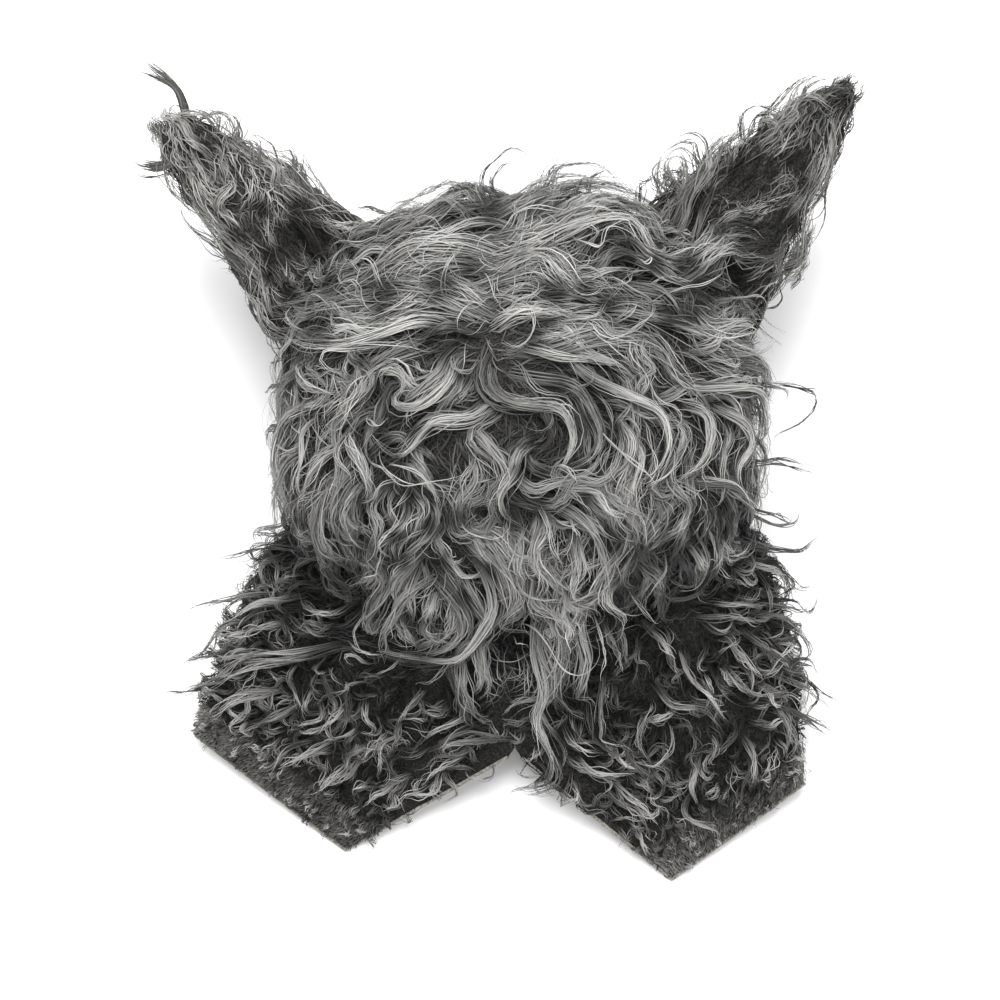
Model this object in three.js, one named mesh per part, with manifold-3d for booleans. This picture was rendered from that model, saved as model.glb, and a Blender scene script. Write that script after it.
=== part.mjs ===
// A werewolf mask that covers the whole head, lying on its face.
// The hood of long fur has a whorl on top, from which its locks run out to the edge all round.
// Two cupped ears stand on it. Two panels of shorter fur make the neck: they are sewn together
// down the nape and under the throat, and part below the notch, where the back slit stands open.
// A plain moulded wolf's face, with a short muzzle and open eyes, closes the side that it lies on.
// The mask is hollow, as it is worn.
//
// Millimetres: +X to the right, +Y towards the crown, +Z up from the floor that it lies on.
// The origin is on the floor, under the middle of the whole mask.

import * as THREE from 'three';
import Module from 'manifold-3d';
import { mergeVertices } from 'three/addons/utils/BufferGeometryUtils.js';

const wasm = await Module();
wasm.setup();

// Driving dimensions
const GAP = 0.4; // between two pieces that are sewn face to face

const HOOD = {
  centre: [10, 12, 104], // the widest level of the head
  halfWidth: 147,
  toCrown: 137,
  toNape: 134,
  up: 132,
  down: 120, // reaches below the floor, which cuts it flat
  crownPlan: 2.4, // superellipse exponents of the plan, rounder at the crown
  napePlan: 2.9,
  topCurve: 2.2, // and of the upright section, squarer at the floor
  bottomCurve: 3.4,
  wall: 12,
  lockDepth: 9,
  locks: 19,
  columnsPerLock: 4,
  rows: 20,
  sway: 0.1,
  whorlTwist: 0.9,
};

const NECK = {
  thickness: 11, // backing cloth and short fur
  napeTop: [8, -88, 150],
  throatTop: [8, -84, 26],
  archPower: 2.6,
  notch: [8, -176, 32],
  throatHem: [4, -150, 12],
  bulge: 9,
  tuftDepth: 5,
  columns: 15,
  rows: 12,
};

// Each side's own points, because the neck lies unevenly: where the side fold begins under the
// hood, which way it swings out, the hem's outer corner, and the tip beside the open slit.
const NECK_SIDES = {
  left: { fold: [-116, -42, 92], swing: [-158, -88, 66], corner: [-188, -160, 13], tip: [-95, -229, -1] },
  right: { fold: [136, -42, 92], swing: [174, -88, 68], corner: [184, -191, 13], tip: [103, -247, -1] },
};

const EARS = {
  left: { root: [-96, 80, 118], tip: [-210, 200, 134], inward: 58, outward: 52, bluntness: 0.26 },
  right: { root: [106, 88, 118], tip: [218, 225, 134], inward: 62, outward: 58, bluntness: 0.16 },
};
const EAR = { thickness: 14, cup: 17, ridgeDepth: 3, ridges: 3, columns: 8, rows: 10 };

// The face is moulded in rings round its muzzle, from the muzzle's front out to the rim.
const FACE = {
  centreX: 9,
  wall: 4.5,
  spokes: 20,
  rings: [
    { y: -15, halfWidth: 18, halfLength: 14, height: 7 }, // front of the muzzle
    { y: -14, halfWidth: 25, halfLength: 22, height: 10 },
    { y: -11, halfWidth: 29, halfLength: 28, height: 24 },
    { y: -7, halfWidth: 36, halfLength: 36, height: 36 }, // root of the muzzle
    { y: 1, halfWidth: 52, halfLength: 53, height: 41 }, // cheeks and eye sockets
    { y: 6, halfWidth: 70, halfLength: 69, height: 37 },
    { y: 8, halfWidth: 79, halfLength: 77, height: 22 },
    { y: 8, halfWidth: 81, halfLength: 79, height: 3 }, // rim
  ],
  brow: 13, // how far it stands out over the eyes
  nose: { y: -4, halfWidth: 12, halfLength: 8, depth: 6 },
  mouth: { y: -13, radius: 15, groove: 1.8 },
  eye: { apart: 68, y: 27, halfWidth: 13, halfLength: 7.5, slant: 17 },
  opening: { y: 8, halfWidth: 86, halfLength: 84 }, // in the hood
};

// The hood's lowest locks, which hang over the neck like a fringe. Its places run along the neck
// from the head, 0, to the hem, 1.
const FRINGE = {
  locks: 14,
  columnsPerLock: 3,
  rows: 4,
  from: 0.02,
  between: 0.19, // where two locks part
  sideTip: 0.28,
  middleTip: 0.48,
  rootDepth: { side: 8, middle: 14 },
  tipDepth: 4,
  sway: 0.03,
};

const COLOURS = {
  hood: { color: 0x6a6966, roughness: 0.85, metalness: 0 },
  neck: { color: 0x4a4a48, roughness: 0.9, metalness: 0 },
  ear: { color: 0x5e5d5a, roughness: 0.87, metalness: 0 },
  face: { color: 0x35322f, roughness: 0.6, metalness: 0 },
};

// Small mathematics

const TURN = 2 * Math.PI;
const mix = (a, b, t) => a + (b - a) * t;
const clamp01 = (t) => Math.min(1, Math.max(0, t));
const smooth = (t) => clamp01(t) ** 2 * (3 - 2 * clamp01(t));
const vec = (p) => new THREE.Vector3(...p);

// A superellipse's coordinate for the sine or cosine c: square corners grow with the exponent n.
const power = (c, n) => Math.sign(c) * Math.abs(c) ** (2 / n);

// Closed meshes from grids of points

// A geometry from a list of points and a list of triangles, each three places in that list.
function geometryOf(points, triangles) {
  const geometry = new THREE.BufferGeometry();
  geometry.setAttribute('position', new THREE.Float32BufferAttribute(points.flatMap((p) => [p.x, p.y, p.z]), 3));
  geometry.setIndex(triangles.flat());
  return geometry;
}

// The two triangles of the quadrilateral a, b, c, d, which runs anticlockwise seen from outside.
const quad = (a, b, c, d) => [[a, b, c], [a, c, d]];

// A ball: a first pole, rings of points that run round it, and a last pole.
function ball(firstPole, rings, lastPole) {
  const count = rings[0].length;
  const points = [firstPole, ...rings.flat(), lastPole];
  const at = (ring, i) => 1 + ring * count + (i % count);
  const triangles = [];
  for (let i = 0; i < count; i += 1) {
    triangles.push([0, at(0, i), at(0, i + 1)]);
    triangles.push([at(rings.length - 1, i), points.length - 1, at(rings.length - 1, i + 1)]);
    for (let ring = 0; ring + 1 < rings.length; ring += 1) {
      triangles.push(...quad(at(ring, i), at(ring + 1, i), at(ring + 1, i + 1), at(ring, i + 1)));
    }
  }
  return geometryOf(points, triangles);
}

// A sheet with a thickness: surface(u, v) is its inner face for u and v from 0 to 1, and
// offset(u, v, normal) leads from there to its outer face, where normal is du x dv.
function sheet(surface, offset, columns, rows) {
  const inner = [];
  const outer = [];
  const step = 1e-3;
  for (let row = 0; row <= rows; row += 1) {
    for (let column = 0; column <= columns; column += 1) {
      const u = column / columns;
      const v = row / rows;
      const along = surface(Math.min(1, u + step), v).sub(surface(Math.max(0, u - step), v));
      const down = surface(u, Math.min(1, v + step)).sub(surface(u, Math.max(0, v - step)));
      const point = surface(u, v);
      inner.push(point);
      outer.push(offset(u, v, along.cross(down).normalize()).add(point));
    }
  }
  const half = inner.length;
  const at = (row, column) => row * (columns + 1) + column;
  const triangles = [];
  for (let row = 0; row < rows; row += 1) {
    for (let column = 0; column < columns; column += 1) {
      const corners = [at(row, column), at(row, column + 1), at(row + 1, column + 1), at(row + 1, column)];
      triangles.push(...quad(...corners.map((i) => i + half)), ...quad(...corners.reverse()));
    }
    triangles.push(...quad(at(row, 0), at(row, 0) + half, at(row + 1, 0) + half, at(row + 1, 0)));
    triangles.push(...quad(at(row + 1, columns), at(row + 1, columns) + half, at(row, columns) + half, at(row, columns)));
  }
  for (let column = 0; column < columns; column += 1) {
    triangles.push(...quad(at(0, column + 1), at(0, column + 1) + half, at(0, column) + half, at(0, column)));
    triangles.push(...quad(at(rows, column), at(rows, column) + half, at(rows, column + 1) + half, at(rows, column + 1)));
  }
  return geometryOf([...inner, ...outer], triangles);
}

// Joining and cutting

function solidOf(geometry) {
  const bare = geometry.clone();
  bare.deleteAttribute('normal');
  bare.deleteAttribute('uv');
  const merged = mergeVertices(bare, 1e-4);
  const solid = new wasm.Manifold(new wasm.Mesh({
    numProp: 3,
    vertProperties: new Float32Array(merged.attributes.position.array),
    triVerts: new Uint32Array(merged.index.array),
  }));
  return solid;
}

function geometryFrom(solid) {
  const { vertProperties, triVerts } = solid.getMesh();
  const geometry = new THREE.BufferGeometry();
  geometry.setAttribute('position', new THREE.BufferAttribute(new Float32Array(vertProperties), 3));
  geometry.setIndex(new THREE.BufferAttribute(new Uint32Array(triVerts), 1));
  return geometry;
}

// The largest of the bodies that a cut leaves.
function largestPiece(solid) {
  return solid.decompose().reduce((best, piece) => (piece.volume() > best.volume() ? piece : best));
}

const underFloor = solidOf(new THREE.BoxGeometry(800, 800, 100).translate(0, 0, -50));

// The hood

// A point of the head's smooth form, shrunk by inset: turn runs round from +X towards +Y, and
// rise from the top, 90 degrees, to the underside.
function headPoint(turn, rise, inset) {
  const { centre, halfWidth, toCrown, toNape, up, down, crownPlan, napePlan } = HOOD;
  const upright = rise > 0 ? HOOD.topCurve : HOOD.bottomCurve;
  const level = power(Math.cos(rise), upright);
  const height = power(Math.sin(rise), upright);
  const plan = Math.sin(turn) > 0 ? crownPlan : napePlan;
  const toEnd = Math.sin(turn) > 0 ? toCrown : toNape;
  return new THREE.Vector3(
    centre[0] + (halfWidth - inset) * level * power(Math.cos(turn), plan),
    centre[1] + (toEnd - inset) * level * power(Math.sin(turn), plan),
    centre[2] + ((height > 0 ? up : down) - inset) * height,
  );
}

// How far the hair's relief lifts the hood at one column and row of its grid. Each lock is a ridge
// of a few columns, cut along its length into tufts whose tips overlap the next tuft like scales.
function lockRelief(column, row) {
  const across = [0, 0.7, 1, 0.45][column % HOOD.columnsPerLock];
  const lock = Math.floor(column / HOOD.columnsPerLock);
  const along = [0.3, 0.6, 0.85, 1, 0.75][(row + 3 * lock) % 5];
  const nearWhorl = smooth(row / 4);
  const underneath = 1 - smooth((row / HOOD.rows - 0.66) / 0.12);
  return HOOD.lockDepth * (across * along * nearWhorl - 0.35) * underneath;
}

// The head as a closed ball. With locks it is the hood's outside, and without them its cavity.
function headBall({ inset, withLocks }) {
  const { centre, locks, columnsPerLock } = HOOD;
  const columns = withLocks ? locks * columnsPerLock : 28;
  const rows = withLocks ? HOOD.rows : 12;
  const middle = vec(centre);
  const rings = [];
  for (let row = 1; row < rows; row += 1) {
    const ring = [];
    const rise = Math.PI / 2 - (Math.PI * row) / rows;
    for (let column = 0; column < columns; column += 1) {
      const base = (TURN * column) / columns;
      const swirl = HOOD.whorlTwist * (1 - smooth(row / 6)) + HOOD.sway * Math.sin(1.1 * row + 3 * base);
      const point = headPoint(base + (withLocks ? swirl : 0), rise, inset);
      const lift = withLocks ? lockRelief(column, row) : 0;
      const out = point.clone().sub(middle);
      ring.push(point.add(out.setLength(lift)));
    }
    rings.push(ring);
  }
  const lift = withLocks ? -0.35 * HOOD.lockDepth : 0;
  const top = headPoint(0, Math.PI / 2, inset).add(new THREE.Vector3(0, 0, lift));
  return ball(top, rings, headPoint(0, -Math.PI / 2, inset));
}

// The neck

// A quarter of the arch where the neck meets the head, from its top or bottom middle to the fold.
function archPoint(middle, fold, t) {
  const angle = (Math.PI / 2) * t;
  return new THREE.Vector3(
    mix(middle[0], fold[0], power(Math.sin(angle), NECK.archPower)),
    mix(middle[1], fold[1], t),
    mix(fold[2], middle[2], power(Math.cos(angle), NECK.archPower)),
  );
}

const curveThrough = (a, b, c, t) => new THREE.QuadraticBezierCurve3(vec(a), vec(b), vec(c)).getPoint(t);

// A Coons patch: the surface that four edges bound, each a function of 0 to 1.
function coons(top, bottom, start, end, u, v) {
  const point = start(v).multiplyScalar(1 - u).add(end(v).multiplyScalar(u));
  point.add(top(u).multiplyScalar(1 - v)).add(bottom(u).multiplyScalar(v));
  point.sub(top(0).multiplyScalar((1 - u) * (1 - v))).sub(top(1).multiplyScalar(u * (1 - v)));
  return point.sub(bottom(0).multiplyScalar((1 - u) * v)).sub(bottom(1).multiplyScalar(u * v));
}

// How far along the nape seam the two panels are sewn together.
const NOTCH_AT = 0.5;

// The inner face of one panel. round is 0 at the nape seam and the slit, 1 at the side fold and 2
// under the throat, and v runs from the head to the hem.
function neckPoint(sideName, round, v) {
  const side = NECK_SIDES[sideName];
  const outward = sideName === 'left' ? -1 : 1;
  const foldLine = (t) => curveThrough(side.fold, side.swing, side.corner, t);
  if (round <= 1) {
    const slit = (t) => (t < NOTCH_AT
      ? vec(NECK.napeTop).lerp(vec(NECK.notch), t / NOTCH_AT)
      : vec(NECK.notch).lerp(vec(side.tip), (t - NOTCH_AT) / (1 - NOTCH_AT)));
    const top = (t) => archPoint(NECK.napeTop, side.fold, t);
    const hem = (t) => vec(side.tip).lerp(vec(side.corner), t);
    const point = coons(top, hem, slit, foldLine, round, v);
    const puff = Math.sin(Math.PI * round) * Math.sin(Math.PI * v);
    point.z += NECK.bulge * puff + 3 * puff * Math.sin(TURN * (1.5 * round + v));
    point.x += outward * 3 * puff;
    return point;
  }
  const throat = (t) => vec(NECK.throatTop).lerp(vec(NECK.throatHem), t);
  const top = (t) => archPoint(NECK.throatTop, side.fold, 1 - t);
  const hem = (t) => vec(side.corner).lerp(vec(NECK.throatHem), t);
  return coons(top, hem, foldLine, throat, round - 1, v);
}

// The relief of short tufts in rows, each row set half a tuft across from the last. It fades out
// towards the head, where the hood lies over the neck, and towards the side fold.
function tuftRelief(round, v) {
  const row = v * NECK.rows;
  const shift = Math.floor(row / 3) % 2 ? 0.5 : 0;
  const across = Math.abs(Math.sin(Math.PI * (round * 4 + shift + 0.3 * Math.sin(0.8 * row))));
  const along = ((row % 3) + 0.6) / 2.6;
  const shown = (1 - smooth((round - 0.9) / 0.3)) * smooth((v - 0.2) / 0.15);
  return NECK.tuftDepth * (across * along - 0.4) * shown;
}

// The way from the neck's inner face to its outer face. At the seams it keeps to their upright
// plane, so that the two panels meet face to face.
function neckOutward(round, normal) {
  const besideSeam = Math.min(round, 2 - round) / 0.12;
  const along = normal.clone();
  along.x *= smooth(besideSeam);
  return along.normalize();
}

// One half of the neck as a thick sheet. It keeps half a gap from each seam with the other half.
// Where it is grown, to cut the hood, it reaches past the seams and one row further into the head.
function neckPanel(sideName, grow) {
  const outward = sideName === 'left' ? -1 : 1;
  const rows = NECK.rows + (grow > 0 ? 1 : 0);
  const roundAt = (u) => (sideName === 'left' ? 2 * u : 2 - 2 * u);
  const downAt = (v) => 1 - ((1 - v) * rows) / NECK.rows;
  const surface = (u, v) => {
    const round = roundAt(u);
    const point = neckPoint(sideName, round, downAt(v));
    const besideSeam = 1 - smooth(Math.min(round, 2 - round) / 0.1);
    point.x += outward * (GAP / 2 - grow) * besideSeam;
    return point;
  };
  const offset = (u, v, normal) => {
    const round = roundAt(u);
    const depth = NECK.thickness + grow + tuftRelief(round, downAt(v));
    return neckOutward(round, normal).multiplyScalar(depth);
  };
  return solidOf(sheet(surface, offset, NECK.columns, rows)).subtract(underFloor);
}

// The filled space inside the neck where it passes under the hood's edge, out to the middle of
// the panels' thickness.
function neckBore() {
  const { columns } = NECK;
  const rings = [];
  for (let row = 0; row <= 4; row += 1) {
    const ring = [];
    for (let i = 0; i < 2 * columns; i += 1) {
      const round = (2 * i) / columns;
      const point = round < 2 ? neckPoint('right', round, 0.1 * row) : neckPoint('left', 4 - round, 0.1 * row);
      const out = point.clone().sub(new THREE.Vector3(HOOD.centre[0], point.y, 80));
      ring.push(point.add(out.setLength(NECK.thickness / 2)));
    }
    rings.push(ring);
  }
  return solidOf(ball(vec([8, -40, 90]), rings, vec([0, -150, 70])));
}

// The neck's outer face, lifted, with spread from -1 at the left side fold to 1 at the right one.
function overNeck(spread, v, lift) {
  const step = 1e-3;
  const at = (s, t) => neckPoint(s < 0 ? 'left' : 'right', Math.abs(s), t);
  const along = at(spread + step, v).sub(at(spread - step, v));
  const down = at(spread, v - step).sub(at(spread, v + step));
  return at(spread, v).addScaledVector(along.cross(down).normalize(), NECK.thickness + lift);
}

// The fringe as one sheet of locks side by side. Each ends in a point, and the longest ones hang
// over the middle of the nape.
function fringe() {
  const { locks, columnsPerLock, rows } = FRINGE;
  const lockAt = (u) => Math.min(locks - 1, Math.floor(u * locks));
  const ridge = (u) => Math.sqrt(Math.abs(Math.sin(Math.PI * u * locks)));
  const spreadAt = (u, v) => {
    const wave = Math.sin(4.5 * v + 2.1 * lockAt(u)) * v * ridge(u);
    return 0.97 * mix(-1, 1, u) + FRINGE.sway * wave;
  };
  const reach = (u) => {
    const middleness = 1 - Math.abs(mix(-1, 1, (lockAt(u) + 0.5) / locks));
    const tip = mix(FRINGE.sideTip, FRINGE.middleTip, smooth(middleness)) + 0.05 * Math.sin(2.6 * lockAt(u));
    return mix(FRINGE.between, tip, ridge(u));
  };
  const place = (u, v, lift) => overNeck(spreadAt(u, v), mix(FRINGE.from, reach(u), v), lift);
  const surface = (u, v) => place(1 - u, v, GAP + NECK.tuftDepth * 0.6 * smooth(v / 0.3));
  const offset = (u, v) => {
    const rootDepth = mix(FRINGE.rootDepth.side, FRINGE.rootDepth.middle, smooth(4 * u * (1 - u)));
    const depth = mix(rootDepth, FRINGE.tipDepth, v) * mix(0.5, 1, ridge(1 - u));
    return place(1 - u, v, depth).sub(place(1 - u, v, 0));
  };
  return solidOf(sheet(surface, offset, locks * columnsPerLock, rows));
}

// The ears

// The inner face of one ear, cupped, with u across and v from root to tip.
function earPoint(ear, u, v) {
  const root = vec(ear.root);
  const axis = vec(ear.tip).sub(root);
  const across = new THREE.Vector3(0, 0, 1).cross(axis).normalize();
  const back = axis.clone().cross(across).normalize();
  const side = mix(-1, 1, u);
  const taper = mix(1, ear.bluntness, v ** 0.85) * Math.sqrt(1 - smooth((v - 0.86) / 0.14) * 0.85);
  const towardsCrown = side * axis.x > 0 ? ear.inward : ear.outward;
  const curl = Math.sin(Math.PI * v) * 7;
  return root.addScaledVector(axis, v)
    .addScaledVector(across, side * towardsCrown * taper)
    .addScaledVector(back, EAR.cup * taper * (1 - side ** 2) + curl);
}

function ear(name) {
  const shape = EARS[name];
  const offset = (u, v, normal) => {
    const side = Math.abs(mix(-1, 1, u));
    const ridge = EAR.ridgeDepth * Math.cos(TURN * EAR.ridges * (u + 0.06 * Math.sin(9 * v)));
    const depth = EAR.thickness * Math.sqrt(1.08 - side ** 2) + ridge * (1 - side);
    return normal.multiplyScalar(depth * mix(1, 0.6, v));
  };
  return solidOf(sheet((u, v) => earPoint(shape, 1 - u, v), offset, EAR.columns, EAR.rows));
}

// The face

// A point of the face's outer side, on one of its rings. The brow stands out towards the crown.
function facePoint(ring, spoke) {
  const { y, halfWidth, halfLength, height } = FACE.rings[ring];
  const angle = (TURN * spoke) / FACE.spokes;
  const onBrow = smooth(1.6 * Math.sin(angle) - 0.5) * smooth(1 - Math.abs(height - 39) / 12);
  return new THREE.Vector3(
    FACE.centreX + halfWidth * Math.cos(angle),
    y + halfLength * Math.sin(angle),
    height - FACE.brow * onBrow,
  );
}

function faceShell() {
  const { rings, spokes, wall } = FACE;
  const last = rings.length - 1;
  const outside = [];
  const inside = [];
  for (let ring = 0; ring <= last; ring += 1) {
    const outer = [];
    const inner = [];
    for (let spoke = 0; spoke < spokes; spoke += 1) {
      const point = facePoint(ring, spoke);
      const outward = facePoint(Math.min(last, ring + 1), spoke).sub(facePoint(Math.max(0, ring - 1), spoke));
      const round = facePoint(ring, spoke + 1).sub(facePoint(ring, spoke - 1));
      outer.push(point);
      inner.push(outward.cross(round).normalize().multiplyScalar(wall).add(point));
    }
    outside.push(outer);
    inside.push(inner);
  }
  const front = new THREE.Vector3(FACE.centreX, rings[0].y, rings[0].height);
  const back = front.clone().setZ(front.z + wall);
  return solidOf(ball(back, [...inside, ...outside.reverse()], front));
}

function eyeCut(sign) {
  const { apart, y, halfWidth, halfLength, slant } = FACE.eye;
  const prism = new THREE.CylinderGeometry(1, 1, 120, 14).rotateX(Math.PI / 2);
  prism.scale(halfWidth, halfLength, 1).rotateZ(sign * THREE.MathUtils.degToRad(slant));
  return solidOf(prism.translate(FACE.centreX + (sign * apart) / 2, y, 40));
}

function nosePad() {
  const { y, halfWidth, halfLength, depth } = FACE.nose;
  const pad = new THREE.SphereGeometry(1, 10, 6).scale(halfWidth, halfLength, depth);
  return solidOf(pad.translate(FACE.centreX, y, FACE.rings[0].height));
}

// The mouth's line is the lower part of a ring.
function mouthGroove() {
  const { y, radius, groove } = FACE.mouth;
  const ring = new THREE.TorusGeometry(radius, groove, 5, 18);
  const upperPart = new THREE.BoxGeometry(4 * radius, 2 * radius, 10).translate(0, 0.7 * radius, 0);
  return solidOf(ring).subtract(solidOf(upperPart)).translate(FACE.centreX, y, FACE.rings[0].height);
}

function faceOpening() {
  const { y, halfWidth, halfLength } = FACE.opening;
  const prism = new THREE.CylinderGeometry(1, 1, 40, 2 * FACE.spokes).rotateX(Math.PI / 2);
  return solidOf(prism.scale(halfWidth, halfLength, 1).translate(FACE.centreX, y, 0));
}

// The whole mask

const neckSolids = { left: neckPanel('left', 0), right: neckPanel('right', 0) };
const headOutside = solidOf(headBall({ inset: 0, withLocks: true }));
const headGrown = solidOf(headBall({ inset: -GAP, withLocks: true }));
const cavity = solidOf(headBall({ inset: HOOD.wall, withLocks: false }));

const hoodSolid = headOutside
  .subtract(cavity)
  .add(fringe())
  .subtract(neckBore())
  .subtract(neckPanel('left', GAP))
  .subtract(neckPanel('right', GAP))
  .subtract(faceOpening())
  .subtract(underFloor);

const faceSolid = faceShell()
  .add(nosePad())
  .subtract(mouthGroove())
  .subtract(eyeCut(1))
  .subtract(eyeCut(-1))
  .subtract(underFloor);

const mask = new THREE.Group();

function addPiece(name, solid, material) {
  const mesh = new THREE.Mesh(geometryFrom(largestPiece(solid)), new THREE.MeshStandardMaterial(material));
  mesh.name = name;
  mask.add(mesh);
}

addPiece('hood', hoodSolid, COLOURS.hood);
addPiece('face', faceSolid, COLOURS.face);
addPiece('ear_left', ear('left').subtract(headGrown), COLOURS.ear);
addPiece('ear_right', ear('right').subtract(headGrown), COLOURS.ear);
addPiece('neck_panel_left', neckSolids.left, COLOURS.neck);
addPiece('neck_panel_right', neckSolids.right, COLOURS.neck);

// The origin goes under the middle of the whole mask.
const extent = new THREE.Box3().setFromObject(mask);
const middle = extent.getCenter(new THREE.Vector3());
mask.position.set(-middle.x, -middle.y, 0);

export default mask;
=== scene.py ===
"""Dresses the werewolf mask in its fur, as it lies on its face and is seen from behind and above.

All shapes are worked out in millimetres in the maker's frame, in which the source of the part
states its sizes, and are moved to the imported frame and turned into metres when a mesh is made.
"""
import logging
import math
from abc import ABC, abstractmethod
from dataclasses import dataclass, fields
from enum import Enum

import bpy
import numpy as np
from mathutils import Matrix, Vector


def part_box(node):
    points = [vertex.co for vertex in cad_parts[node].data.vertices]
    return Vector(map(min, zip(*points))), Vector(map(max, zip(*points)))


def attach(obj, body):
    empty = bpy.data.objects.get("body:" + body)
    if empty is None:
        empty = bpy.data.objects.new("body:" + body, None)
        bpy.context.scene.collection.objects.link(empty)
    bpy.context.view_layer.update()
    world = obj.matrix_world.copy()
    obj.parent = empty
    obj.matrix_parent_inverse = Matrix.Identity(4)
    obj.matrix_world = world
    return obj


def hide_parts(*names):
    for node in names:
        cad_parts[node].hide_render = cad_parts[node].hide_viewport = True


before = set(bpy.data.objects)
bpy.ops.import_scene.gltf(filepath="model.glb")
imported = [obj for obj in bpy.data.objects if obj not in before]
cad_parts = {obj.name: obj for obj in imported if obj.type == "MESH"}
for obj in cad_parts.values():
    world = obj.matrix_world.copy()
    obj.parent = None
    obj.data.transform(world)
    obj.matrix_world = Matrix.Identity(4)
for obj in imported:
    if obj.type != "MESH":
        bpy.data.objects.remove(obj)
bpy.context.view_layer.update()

log = logging.getLogger("werewolf_mask")
Array = np.ndarray

TAU = 2.0 * math.pi
MM = 0.001
ROOT_BODY = "root"
FACE_MIDDLE = (9.0, 8.0)  # the middle of the face's rim in the maker's frame
BAKE_MAP = "OFBake"


# Small mathematics on whole arrays

def smooth(t: Array) -> Array:
    """Return the smooth step of t, which is 0 below 0 and 1 above 1."""
    t = np.clip(t, 0.0, 1.0)
    return t * t * (3.0 - 2.0 * t)


def mix(a: Array, b: Array, t: Array) -> Array:
    """Return the value that lies the share t of the way from a to b."""
    return a + (b - a) * t


def unit(vectors: Array) -> Array:
    """Return the vectors, along the last axis, at length one."""
    return vectors / np.maximum(np.linalg.norm(vectors, axis=-1, keepdims=True), 1e-9)


def dot(a: Array, b: Array) -> Array:
    """Return the dot product along the last axis, which is kept."""
    return np.sum(a * b, axis=-1, keepdims=True)


def signed_power(c: Array, n: Array) -> Array:
    """Return a superellipse's coordinate for the sine or cosine c and the exponent n."""
    return np.sign(c) * np.abs(c) ** (2.0 / n)


def triple(x: Array, y: Array, z: Array) -> Array:
    """Return points from three arrays, or numbers, that broadcast together."""
    return np.stack(np.broadcast_arrays(x, y, z), axis=-1).astype(float)


def curve_through(points: Array, t: Array) -> Array:
    """Return points of a Catmull-Rom curve, which passes through every given point.

    Args:
        points: The curve's points, one a row.
        t: Places along it from 0 to 1, with the given points evenly spaced.

    Returns:
        One point for each place.
    """
    padded = np.concatenate([2 * points[:1] - points[1:2], points, 2 * points[-1:] - points[-2:-1]])
    place = np.clip(t, 0.0, 1.0) * (len(points) - 1)
    first = np.minimum(place.astype(int), len(points) - 2)
    f = (place - first)[..., None]
    a, b, c, d = (padded[first + i] for i in range(4))
    bend = 2 * a - 5 * b + 4 * c - d
    return 0.5 * (2 * b + (c - a) * f + bend * f**2 + (3 * b - a - 3 * c + d) * f**3)


def stroke_points(stroke: tuple[int, ...]) -> Array:
    """Return a stroke's points, which are written as x and y by turns."""
    return np.array(stroke, float).reshape(-1, 2)


# Meshes

class Slot(Enum):
    """The record's material slots."""

    HOOD_FUR = "hood_fur"
    EAR_FUR = "ear_fur"
    NECK_FUR = "neck_fur"
    FACE_LATEX = "face_latex"


def frame_shift() -> Array:
    """Return the way from the maker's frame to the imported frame, in millimetres."""
    low, high = (np.array(corner[:]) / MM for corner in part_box("face"))
    middle = (low + high) / 2
    return np.array([middle[0] - FACE_MIDDLE[0], middle[1] - FACE_MIDDLE[1], 0.0])


SHIFT = frame_shift()


def add_mesh(name: str, vertices: Array, quads: Array, uv: Array | None = None) -> bpy.types.Object:
    """Make a mesh object of quadrilaterals.

    Args:
        name: The piece's name.
        vertices: Points in millimetres, in the maker's frame.
        quads: Four places in vertices for each face, anticlockwise seen from outside.
        uv: The bake map's coordinates, one pair for each vertex.

    Returns:
        The new object, linked to the scene.
    """
    mesh = bpy.data.meshes.new(name)
    mesh.vertices.add(len(vertices))
    mesh.vertices.foreach_set("co", ((vertices + SHIFT) * MM).astype(np.float32).ravel())
    mesh.loops.add(quads.size)
    mesh.loops.foreach_set("vertex_index", quads.astype(np.int32).ravel())
    mesh.polygons.add(len(quads))
    mesh.polygons.foreach_set("loop_start", np.arange(0, quads.size, 4, dtype=np.int32))
    mesh.polygons.foreach_set("use_smooth", np.ones(len(quads), dtype=bool))
    if uv is not None:
        layer = mesh.uv_layers.new(name=BAKE_MAP)
        layer.data.foreach_set("uv", uv[quads.ravel()].astype(np.float32).ravel())
    mesh.update(calc_edges=True)
    mesh.validate()
    thing = bpy.data.objects.new(name, mesh)
    bpy.context.scene.collection.objects.link(thing)
    return thing


def grid_quads(rows: int, columns: int, closed: bool = False) -> Array:
    """Return the quadrilaterals of a grid whose points are stored row after row.

    Args:
        rows: The number of points down the grid.
        columns: The number of points across it.
        closed: Whether the last column joins the first.

    Returns:
        Four places for each face.
    """
    across = np.arange(columns if closed else columns - 1)
    row, column = np.meshgrid(np.arange(rows - 1), across, indexing="ij")
    a = row * columns + column
    b = row * columns + (column + 1) % columns
    return np.stack([a, a + columns, b + columns, b], axis=-1).reshape(-1, 4)


def drop_loose(vertices: Array, quads: Array) -> tuple[Array, Array]:
    """Return the vertices that the quadrilaterals use, and the quadrilaterals renumbered."""
    used = np.unique(quads)
    places = np.full(len(vertices), -1)
    places[used] = np.arange(len(used))
    return vertices[used], places[quads]


def thicken(thing: bpy.types.Object, depth: float) -> None:
    """Give a sheet a thickness, in millimetres, to the side that its faces turn away from."""
    solidify = thing.modifiers.new("wall", "SOLIDIFY")
    solidify.thickness = depth * MM
    solidify.offset = -1.0
    solidify.use_even_offset = False


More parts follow.
